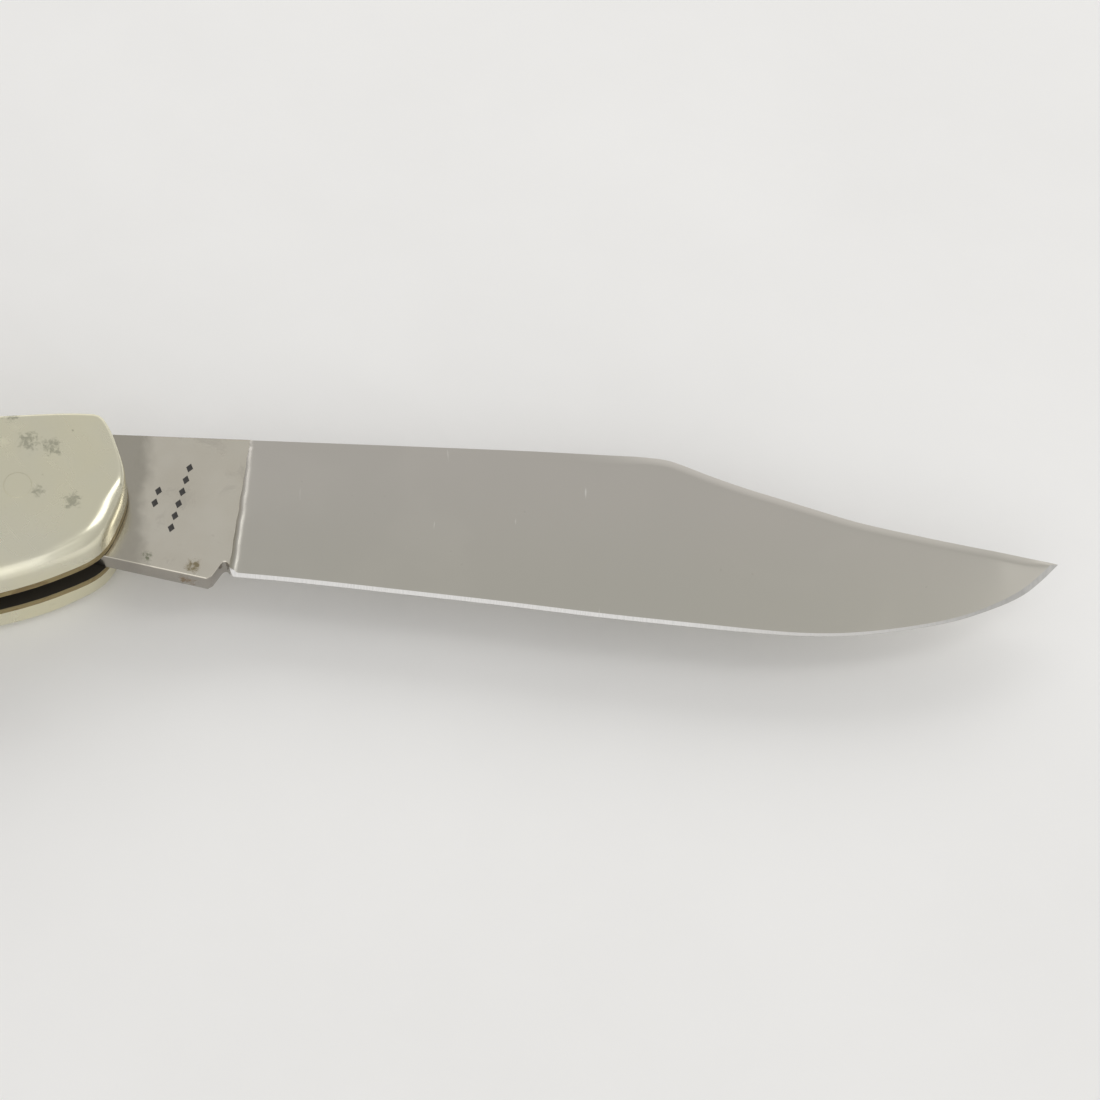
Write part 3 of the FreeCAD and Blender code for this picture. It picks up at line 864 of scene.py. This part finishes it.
def ground_half(x, y, sizes):
    """Half thickness of the ground blade at a point, in millimetres."""
    from_edge = EDGE_LINE.distance(x, y)
    from_back = -CLIP_LINE.distance(x, y)
    width = max(from_edge + from_back, 1.0)
    rise = (spine_half(x, sizes) - sizes.edge_grind / MM) / max(width, 6.0)
    half = sizes.edge_grind / MM + rise * from_edge
    strength = ease((x - 56) / 16)
    reach = sizes.swedge_width / MM * (1.0 + 0.35 * ease((74 - x) / 8) * ease((x - 62) / 8))
    reach = min(reach, 0.4 * width)
    inside = min(max(1 - from_back / reach, -0.2), 2.5)
    if inside > 0:
        half -= strength * sizes.swedge_drop / MM * inside ** 1.3
    return half


def plunge_x(y):
    """Where the grind starts at height y, in millimetres."""
    t = (y - PLUNGE_FOOT[1]) / (PLUNGE_TOP[1] - PLUNGE_FOOT[1])
    waver = 0.035 * math.sin(y * 2.3) + 0.02 * math.sin(y * 7.1 + 1)
    return PLUNGE_FOOT[0] + t * (PLUNGE_TOP[0] - PLUNGE_FOOT[0]) + waver


GRIND_START = 25                    # station of the plunge line, in millimetres like the rest here
WHEEL_CLEAR = 0.05                  # the wheel starts this far above the stock
PLUNGE_COLUMNS = [-0.12, 0.0, 0.08, 0.16, 0.24, 0.33, 0.42, 0.52, 0.64, 0.78, 1.0]
FIRST_COLUMN = 3.0
GRIND_STEP = 0.8
GRIND_LENGTH = 98.0
BACK_ROWS = [-1.5, -0.5, 0.0, 0.15, 0.3, 0.45, 0.6, 0.75, 0.9, 1.05, 1.25, 1.6, 2.2]
FACE_ROWS = 22


def wheel_row(row, nominal):
    """The height of a row of the grinding wheel at a distance ahead of the ricasso, in millimetres."""
    back_y = back_line_y(GRIND_START + nominal)
    foot_y = min(edge_line_y(GRIND_START + nominal) - 1.5, back_y - 2.5)
    if row < len(BACK_ROWS):
        return back_y - BACK_ROWS[row]
    top = back_y - BACK_ROWS[-1]
    return top + (foot_y - top) * (row - len(BACK_ROWS) + 1) / FACE_ROWS


def wheel_column(column, nominal, width):
    """How far a column of the grinding wheel is from the plunge line, in millimetres."""
    bends = len(PLUNGE_COLUMNS)
    if column < bends:
        return PLUNGE_COLUMNS[column] * width
    if column < bends + 2:
        return width + (FIRST_COLUMN - width) * (column - bends + 1) / 3
    return nominal


def grinding_wheel(sizes):
    """The cutter of the main grind: its underside is the blade's upper face, with the plunge."""
    radius = sizes.plunge_radius / MM
    bends = len(PLUNGE_COLUMNS)
    columns = bends + 3 + round((GRIND_LENGTH - FIRST_COLUMN) / GRIND_STEP)
    top = STOCK_HALF + WHEEL_CLEAR

    def place(column, row):
        nominal = max(FIRST_COLUMN + (column - bends - 2) * GRIND_STEP, 1.0)
        y = wheel_row(row, nominal)
        start = plunge_x(y)
        step = min(top - ground_half(start + 1, y, sizes), radius)
        width = math.sqrt(2 * radius * step - step * step)
        away = wheel_column(column, nominal, width)
        x = start + away - (start - GRIND_START) * ease((away - 3) / 12)
        half = ground_half(x, y, sizes)
        if away < width:
            short = min(width - away, width)
            half += (radius - math.sqrt(radius * radius - short * short)) * (top - half) / step
        if away < 0:
            half += 0.3
        return mm(x, y, half) + Vector((0, 0, MID_Z))

    return grid_block("grinding_wheel", columns, len(BACK_ROWS) + FACE_ROWS, place, CUTTER_TOP)


def line_y(points, x):
    """The height of a line at x, straight beyond its ends."""
    for a, b in zip(points, points[1:]):
        if x <= b.x or b is points[-1]:
            return a.y + (b.y - a.y) * (x - a.x) / (b.x - a.x)


def back_line_y(x):
    return SPINE_Y if x <= CLIP[0][0] else line_y(BACK_PATH, x)


def edge_line_y(x):
    return line_y(EDGE_PATH, min(x, 118.0)) if x > EDGE[0][0] else EDGE[0][1]


BACK_PATH = smooth_path(CLIP, 0.6)
EDGE_PATH = smooth_path(EDGE, 0.6)


def sharpening_stone(sizes):
    """The cutter of the edge bevel: a strip that follows the edge."""
    path = smooth_path(EDGE, 0.8)
    first, last = path[0] - path[1], path[-1] - path[-2]
    path = [path[0] + first.normalized() * 0.9] + path + [path[-1] + last.normalized() * 0.9]
    width = sizes.bevel_width / MM
    rows = [-1.2, 0.0, 0.4, 0.8, 1.2, 1.8]
    slope = (sizes.edge_grind / MM - 0.03) / width

    def place(column, row):
        before, after = path[max(column - 1, 0)], path[min(column + 1, len(path) - 1)]
        along = (after - before).normalized()
        x = path[column].x
        wide = 1 - 0.3 * ease((x - 78) / 14) + 0.45 * ease((x - 110) / 7)
        p = path[column] + Vector((-along.y, along.x)) * (rows[row] * width + 0.012)
        return mm(p.x, p.y, 0.03 + slope * rows[row] * width / wide) + Vector((0, 0, MID_Z))

    return grid_block("sharpening_stone", len(path), len(rows), place, CUTTER_TOP)


def nick_cutter(sizes):
    """The cutter of the nail nick, on the lower face just under the spine."""
    radius, tilt = 15 * MM, math.radians(22)
    deselect()
    bpy.ops.mesh.primitive_cylinder_add(vertices=256, radius=radius, depth=6 * MM, location=(0, 0, 0),
                                        rotation=(math.radians(90), 0, 0))
    disc = bpy.context.object
    bpy.ops.object.transform_apply(location=True, rotation=True, scale=True)
    x, y = NICK_PLACE
    spot = Vector((x * MM, y * MM, MID_Z - STOCK_HALF * MM + NICK_DEPTH * MM))
    turn = Matrix.Rotation(tilt, 4, "X") @ Matrix.Translation((0, -3 * MM, 0))
    top = Matrix.Rotation(tilt, 4, "X") @ Vector((0, 0, radius))
    disc.data.transform(Matrix.Translation(spot - top) @ turn)
    return disc


LOZENGE = (0.60 * MM, 0.42 * MM, 0.10 * MM)      # half length, half width and depth


def lozenge_punch(place, half_length, half_width, depth):
    """A four-sided punch, its point down, that leaves a small lozenge in the ricasso."""
    deselect()
    bpy.ops.mesh.primitive_cone_add(vertices=4, radius1=0, radius2=1, depth=1, location=(0, 0, 0.5))
    punch = bpy.context.object
    bpy.ops.object.transform_apply(location=True, rotation=True, scale=True)
    lean = Matrix.Rotation(math.radians(-12), 4, "Z")
    shape = Matrix.Diagonal((half_width * 2, half_length * 2, depth * 2, 1))
    punch.data.transform(Matrix.Translation((place[0], place[1], BLADE_HIGH.z - depth)) @ lean @ shape)
    return punch


class KNIFE_OT_blade(bpy.types.Operator):
    """Grind the clip-point blade from a flat blank"""

    bl_idname = "knife.blade"
    bl_label = "Blade"

    def execute(self, context):
        sizes = context.scene.knife_sizes
        blank = outline_plate("blade", blade_outline(), MID_Z, BLADE_HIGH.z)
        paint(blank, "ricasso_steel")
        break_edges(blank, 0.2 * MM, 4, self.is_ricasso_edge)
        cut_away(blank, paint(grinding_wheel(sizes), "ground_steel"))
        cut_away(blank, paint(sharpening_stone(sizes), "edge_steel"))
        mirror_half(blank)
        cut_away(blank, paint(nick_cutter(sizes), "ground_steel"))
        drill(blank, (0, 0), PIVOT_HOLE * MM, 0, TOP_Z)
        for x, y in self.punch_places():
            cut_away(blank, paint(lozenge_punch((x * MM, y * MM), *LOZENGE), "stamp_fill"))
        crisp_seams(shade(blank, 14))
        finish_piece(blank, "blade_steel", "blade", "blade")
        return {"FINISHED"}

    def is_ricasso_edge(self, a, b):
        """True on the upper edge of the ricasso's underside, the kick and the notch."""
        on_top = min(a.z, b.z) > BLADE_HIGH.z - LEVEL
        below = max(a.y, b.y) < -2 * MM
        return on_top and below and max(a.x, b.x) < 24.9 * MM and min(a.x, b.x) > -1.9 * MM

    def punch_places(self):
        """Two rows of plain punch marks across the ricasso, in millimetres."""
        long_row = [(19.0 - 0.32 * i, 5.8 - 1.55 * i) for i in range(6)]
        return long_row + [(15.6 - 0.32 * i, 2.7 - 1.55 * i) for i in range(2)]


# ---- covers ----------------------------------------------------------------------------------
RIM_STEPS = [0, 12, 24, 36, 48, 60, 70, 79, 86, 90]         # degrees round the rim, ring by ring


def rim_round(point, sizes):
    """How far the cover's rim is rounded at a point of its outline."""
    x, y = to_handle(point)[:2]
    belly = max(ease((4.5 - y) / 9), ease((-98 - x) / 20))
    width = sizes.back_round + (sizes.belly_round - sizes.back_round) * belly
    nose = ease((x - 2) / 6) * ease((1.0 - y) / 5) * ease((y + 12) / 3)
    return width + (sizes.corner_round - sizes.belly_round) * nose


def pick_top(cover):
    """Selects the top face of the cover alone and makes it the active one, in edit mode."""
    mesh = bmesh.from_edit_mesh(cover.data)
    top = max(mesh.faces, key=lambda f: f.calc_center_median().z)
    top.select_set(True)
    mesh.faces.active = top
    bmesh.update_edit_mesh(cover.data)


def move_ring(cover, before, ring, levels):
    """Moves the selected corners of the cover from one ring of places to the next."""
    mesh = bmesh.from_edit_mesh(cover.data)
    tree = KDTree(len(before))
    for i, p in enumerate(before):
        tree.insert((p.x, p.y, 0), i)
    tree.balance()
    moved = set()
    for vertex in (v for v in mesh.verts if v.select):
        index = tree.find((vertex.co.x, vertex.co.y, 0))[1]
        moved.add(index)
        vertex.co = (ring[index].x, ring[index].y, levels[index])
    if len(moved) != len(ring):
        raise RuntimeError("a ring of the cover's rim lost its order")
    bmesh.update_edit_mesh(cover.data)


def blank_cover(sizes):
    """The upper cover in one piece: the handle's outline, extruded ring by ring over a rounded rim."""
    cover = outline_plate("cover", HANDLE, COVER_Z, COVER_Z + 1 * MM)
    inward = []
    for i in range(len(HANDLE)):
        along = (HANDLE[(i + 2) % len(HANDLE)] - HANDLE[i - 2]).normalized()
        inward.append(Vector((-along.y, along.x)))
    widths = [rim_round(p, sizes) for p in HANDLE]
    with editing(cover, "FACE", "DESELECT"):
        pick_top(cover)
        before = HANDLE
        for degrees in RIM_STEPS:
            back, up = 1 - math.cos(math.radians(degrees)), 1 - math.sin(math.radians(degrees))
            ring = [p + side * width * back for p, side, width in zip(HANDLE, inward, widths)]
            if degrees:
                extrude_up(0)
            move_ring(cover, before, ring, [TOP_Z - width * up for width in widths])
            before = ring
        face_outward()
    return cover


FRONT_JOINT, REAR_JOINT = -17.0, -108.0     # stations of the handle where scale meets bolster


def pin_holes(obj, nodes, gap):
    """Drills a piece for the round CAD nodes that stand in it."""
    for node in nodes:
        low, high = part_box(node)
        drill(obj, centre_of(node), (high.x - low.x) / 2 + gap, low.z - MM, high.z + MM)


class KNIFE_OT_bolsters(bpy.types.Operator):
    """Cut the four bolsters from the rounded covers and drill them"""

    bl_idname = "knife.bolsters"
    bl_label = "Bolsters"

    def execute(self, context):
        sizes = context.scene.knife_sizes
        cover = paint(blank_cover(sizes), "nickel_silver")
        front = slice_off(copy_of(cover), FRONT_JOINT, -1)
        rear = slice_off(cover, REAR_JOINT, 1)
        pin_holes(front, ["pivot_pin"], sizes.pin_gap)
        pin_holes(rear, ["rear_pin"], sizes.pin_gap)
        for upper, name in ((front, "front_bolster"), (rear, "rear_bolster")):
            shade(upper, 30)
            lower = turn_over(upper)
            finish_piece(upper, "upper_%s_shell" % name, "upper_" + name)
            finish_piece(lower, "lower_%s_shell" % name, "lower_" + name)
        return {"FINISHED"}


def gouge_places(seed, keep_clear):
    """Uneven rows of gouges along a scale: their places, sizes and leans, none touching the next."""
    rng = random.Random(seed)
    taken = []
    for row in range(-7, 7):
        for column in range(23):
            x = REAR_JOINT + 1.0 + (column + 0.5 * (row % 2)) * 4.15 + rng.uniform(-0.9, 0.9)
            y = row * 2.0 + rng.uniform(-0.4, 0.4)
            size = rng.uniform(0.75, 1.15)
            lean = rng.uniform(-0.14, 0.14)
            if not REAR_JOINT + 2.4 < x < FRONT_JOINT - 2.4 or keep_clear(x, y):
                continue
            if all(((x - u) / 4.3) ** 2 + ((y - v) / 1.75) ** 2 > ((size + other) / 2) ** 2
                   for u, v, other, _ in taken):
                taken.append((x, y, size, lean))
    return taken


def gouge_cutter(sizes, places):
    """One spoon-shaped gouge, its upper half cut off, copied to every place and joined."""
    deselect()
    bpy.ops.mesh.primitive_uv_sphere_add(segments=20, ring_count=14, radius=1)
    spoon = bpy.context.object
    with editing(spoon):
        bpy.ops.mesh.bisect(plane_co=(0, 0, 0.05), plane_no=(0, 0, 1), use_fill=True, clear_outer=True)
    made = []
    for x, y, size, lean in places:
        copy = spoon.copy()
        copy.data = spoon.data.copy()
        bpy.context.collection.objects.link(copy)
        deep = sizes.jig_depth * 2.2
        centre = from_handle(x, y) + Vector((0, 0, TOP_Z + deep - sizes.jig_depth * size))
        shape = Matrix.Diagonal((sizes.jig_length * 0.6 * size, sizes.jig_width * 0.6 * size, deep, 1))
        turn = Matrix.Rotation(HANDLE_DROP + lean, 4, "Z")
        copy.data.transform(Matrix.Translation(centre) @ turn @ shape)
        made.append(copy)
    bpy.data.objects.remove(spoon)
    return join(made)


PIN_PLACES = [(-27.0, -1.5), (-97.0, -1.5), (-58.0, 9.3)]   # two small pins, then the centre pin
SCORE_START, SCORE_STEP = 1.37, 2.71
SHIELD_HALF = (10.5 * MM, 4.0 * MM)


def near_pins(x, y):
    """True where the heads of the pins are left on smooth bone."""
    return any((x - px) ** 2 + ((y - py) * 1.5) ** 2 < 3.4 ** 2 for px, py in PIN_PLACES)


def near_shield(x, y):
    """True on the oval that the shield takes, and a little round it."""
    middle = to_handle(centre_of("shield"))
    return ((x - middle.x) / 13.6) ** 2 + ((y - middle.y) / 5.6) ** 2 < 1


class KNIFE_OT_scales(bpy.types.Operator):
    """Shape the two bone scales, jig them and seat the shield"""

    bl_idname = "knife.scales"
    bl_label = "Scales"

    def execute(self, context):
        sizes = context.scene.knife_sizes
        cover = paint(blank_cover(sizes), "bone")
        plain = slice_off(slice_off(cover, FRONT_JOINT, 1), REAR_JOINT, -1)
        for side, seed in (("upper", 11), ("lower", 23)):
            scale = copy_of(plain)
            self.score(scale)
            clear = near_pins if side == "upper" else (lambda x, y: near_pins(x, y) or near_shield(x, y))
            cut_away(scale, paint(gouge_cutter(sizes, gouge_places(seed, clear)), "bone_jigging"))
            for place, radius in zip(PIN_PLACES, (PIN_HEAD, PIN_HEAD, 1 * MM)):
                drill(scale, from_handle(*place), radius + sizes.pin_gap, COVER_Z - MM, TOP_Z + MM)
            if side == "lower":
                upper, scale = scale, turn_over(scale)
                bpy.data.objects.remove(upper)
                self.seat_shield(scale, sizes)
            crisp_seams(shade(scale, 32))
            finish_piece(scale, side + "_bone_scale", side + "_scale")
        bpy.data.objects.remove(plain)
        return {"FINISHED"}

    def score(self, scale):
        """Divides the scale across at even steps, so that its flat face isn't one huge polygon."""
        x = REAR_JOINT + SCORE_START
        with editing(scale):
            while x < FRONT_JOINT - 1:
                bpy.ops.mesh.select_all(action="SELECT")
                bpy.ops.mesh.bisect(plane_co=from_handle(x, 0), plane_no=along_handle())
                x += SCORE_STEP

    def seat_shield(self, scale, sizes):
        """Cuts the oval seat of the shield."""
        low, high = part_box("shield")
        middle = centre_of("shield")
        deselect()
        bpy.ops.mesh.primitive_cylinder_add(vertices=128, radius=1, depth=1)
        seat = bpy.context.object
        turn = Matrix.Rotation(HANDLE_DROP, 4, "Z")
        half_length, half_width = (half + sizes.pin_gap for half in SHIELD_HALF)
        stretch = Matrix.Diagonal((half_length, half_width, 2 * (high.z - low.z) + 0.1 * MM, 1))
        seat.data.transform(Matrix.Translation((middle.x, middle.y, 0)) @ turn @ stretch)
        cut_away(scale, paint(seat, "bone_jigging"))


# ---- pins, spring, liners --------------------------------------------------------------------
def pin(place, radius, z_low, z_high):
    """A pin with slightly crowned, spun-over ends: a rod with its rims rounded."""
    obj = rod(place, radius, z_low, z_high)
    break_edges(obj, 0.02 * MM, 1, is_level)
    return obj


class KNIFE_OT_pins(bpy.types.Operator):
    """Set the pins that go through the handle, their ends rounded over"""

    bl_idname = "knife.pins"
    bl_label = "Pins"

    def execute(self, context):
        for node in ("pivot_pin", "centre_pin", "rear_pin"):
            low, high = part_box(node)
            made = pin(centre_of(node), (high.x - low.x) / 2, low.z, high.z)
            paint(shade(made), "nickel_silver")
            finish_piece(made, node + "_spun", node)
        for node in ("upper_scale_pins", "lower_scale_pins"):
            low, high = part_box(node)
            both = [pin(from_handle(*place), PIN_HEAD, low.z, high.z) for place in PIN_PLACES[:2]]
            paint(shade(join(both)), "nickel_silver")
            finish_piece(both[0], node + "_spun", node)
        return {"FINISHED"}


SPRING_INSIDE = [(-25, 7.15), (-45, 6.95), (-70, 7.0), (-92, 7.1), (-104, 5.6), (-112, 2.4),
                 (-118, -1.4), (-123.4, -5.0)]
SPRING_FACE = 4.15 * MM             # height of the face that the tang runs on
SPRING_GAP = 0.04 * MM              # between the spring and each liner


def spring_outline(nose_x):
    """The back spring's outline: the handle's back, and an inside line of its own."""
    first = Vector((from_handle(*SPRING_INSIDE[0]).x + 1.5 * MM, SPRING_FACE))
    inside = [Vector((nose_x, SPRING_FACE)), first]
    inside += [p * MM for p in smooth_path([to_row_mm(p) for p in SPRING_INSIDE], 2.0)]
    start = next(i for i, p in enumerate(HANDLE) if p.x < nose_x and p.y > 0)
    end = min(range(len(HANDLE)), key=lambda i: (HANDLE[i] - inside[-1]).length)
    lean = HANDLE[start] - HANDLE[start - 1]
    nose_top = HANDLE[start] + lean * ((nose_x - HANDLE[start].x) / lean.x)
    return [nose_top] + HANDLE[start:end] + inside[::-1]


class KNIFE_OT_back_spring(bpy.types.Operator):
    """Cut the back spring in one piece"""

    bl_idname = "knife.back_spring"
    bl_label = "Back spring"

    def execute(self, context):
        low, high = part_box("back_spring")
        outline = spring_outline(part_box("spring_arm")[1].x)
        spring = outline_plate("spring", outline, low.z + SPRING_GAP, high.z - SPRING_GAP)
        break_edges(spring, 0.12 * MM, 2, is_level)
        paint(shade(spring, 30), "spring_steel")
        spring.name = spring.data.name = "back_spring_whole"
        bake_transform(spring)
        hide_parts("back_spring", "spring_arm")
        return {"FINISHED"}


def to_row_mm(point):
    """A point of the handle's frame in the row frame, both in millimetres."""
    p = from_handle(*point) / MM
    return Vector((p.x, p.y))


class KNIFE_OT_frame_finishes(bpy.types.Operator):
    """Give the liners, rivets, shield and studs their finishes"""

    bl_idname = "knife.frame_finishes"
    bl_label = "Liners, rivets and shield"

    def execute(self, context):
        finishes = {"shield": "nickel_silver", "shield_studs": "nickel_silver"}
        for side in ("upper", "lower"):
            finishes[side + "_liner"] = "liner_brass"
            finishes[side + "_front_bolster_rivets"] = "spring_steel"
            finishes[side + "_rear_bolster_rivet"] = "spring_steel"
        for node, material in finishes.items():
            paint(frame["nodes"][node], material)
        return {"FINISHED"}


# ---- stage -----------------------------------------------------------------------------------
LIGHTS = [("window", (0.06, 0.95, 0.60), (1.2, 0.65)), ("fill", (0.0, -0.60, 0.70), (0.9, 0.7)),
          ("side", (0.61, 0.12, 0.75), (0.2, 0.7))]      # name, place and size of each soft light
LIGHT_AIM = Vector((0.06, 0.0, 0.0))
SKY_FRONT, SKY_SIDES, SKY_TOP = (1.0, 0.995, 0.985, 1), (0.50, 0.495, 0.485, 1), (0.56, 0.555, 0.545, 1)


class KNIFE_OT_stage(bpy.types.Operator):
    """Set the floor, the lights and the camera"""

    bl_idname = "knife.stage"
    bl_label = "Stage"

    def execute(self, context):
        settings = context.scene.knife_stage
        self.floor()
        self.camera(settings)
        self.sky(settings)
        for name, place, size in LIGHTS:
            self.area(name, place, size, getattr(settings, name))
        bpy.data.objects["window"].visible_glossy = False
        context.scene.view_settings.view_transform = "Standard"
        return {"FINISHED"}

    def floor(self):
        deselect()
        bpy.ops.mesh.primitive_plane_add(size=6, location=(0, 0, -0.05 * MM))
        floor = bpy.context.object
        floor.name = "floor"
        paint(floor, "floor")

    def camera(self, settings):
        deselect()
        bpy.ops.object.camera_add(location=settings.camera)
        camera = bpy.context.object
        tilt = Euler((settings.tilt, 0, 0)).to_matrix()
        camera.rotation_euler = (tilt @ Matrix.Rotation(settings.roll, 3, "Z")).to_euler()
        camera.data.lens = settings.lens
        camera.data.clip_start = 0.01
        bpy.context.scene.camera = camera

    def sky(self, settings):
        world = bpy.data.worlds.new("sky")
        world.use_nodes = True
        bpy.context.scene.world = world
        s = Shader(world.node_tree)
        back = next(n for n in world.node_tree.nodes if n.type == "BACKGROUND")
        way = s.node("ShaderNodeTexCoord").outputs["Generated"]
        walls = s.mix(s.ramp(s.math("ABSOLUTE", s.part(way, "X")), 0.35, 0.75), SKY_FRONT, SKY_SIDES)
        s.feed(back.inputs["Color"], s.mix(s.ramp(s.part(way, "Z"), 0.30, 0.78), walls, SKY_TOP))
        back.inputs["Strength"].default_value = settings.sky

    def area(self, name, place, size, power):
        deselect()
        bpy.ops.object.light_add(type="AREA", location=place)
        light = bpy.context.object
        light.name = name
        aim = LIGHT_AIM - Vector(place)
        light.rotation_euler = aim.to_track_quat("-Z", "Y").to_euler()
        light.data.shape = "RECTANGLE"
        light.data.size, light.data.size_y = size
        light.data.energy = power


class KNIFE_PT_panel(bpy.types.Panel):
    """The steps of making the knife"""

    bl_idname = "KNIFE_PT_panel"
    bl_label = "Folding knife"
    bl_space_type = "VIEW_3D"
    bl_region_type = "UI"
    bl_category = "Knife"

    def draw(self, context):
        for step in STEPS:
            self.layout.operator(step.bl_idname)
        for settings in (context.scene.knife_sizes, context.scene.knife_colours, context.scene.knife_stage):
            box = self.layout.box()
            for key in settings.__annotations__:
                box.prop(settings, key)


STEPS = (KNIFE_OT_stage, KNIFE_OT_blade, KNIFE_OT_bolsters, KNIFE_OT_scales, KNIFE_OT_pins,
         KNIFE_OT_back_spring, KNIFE_OT_frame_finishes)
CLASSES = (KnifeSizes, KnifeColours, StageSettings, *STEPS, KNIFE_PT_panel)


def register():
    for cls in CLASSES:
        bpy.utils.register_class(cls)
    bpy.types.Scene.knife_sizes = bpy.props.PointerProperty(type=KnifeSizes)
    bpy.types.Scene.knife_colours = bpy.props.PointerProperty(type=KnifeColours)
    bpy.types.Scene.knife_stage = bpy.props.PointerProperty(type=StageSettings)


def unregister():
    del bpy.types.Scene.knife_stage
    del bpy.types.Scene.knife_colours
    del bpy.types.Scene.knife_sizes
    for cls in reversed(CLASSES):
        bpy.utils.unregister_class(cls)


def main():
    register()
    for step in STEPS:
        getattr(bpy.ops.knife, step.bl_idname.split(".")[1])()


if __name__ == "__main__":
    main()
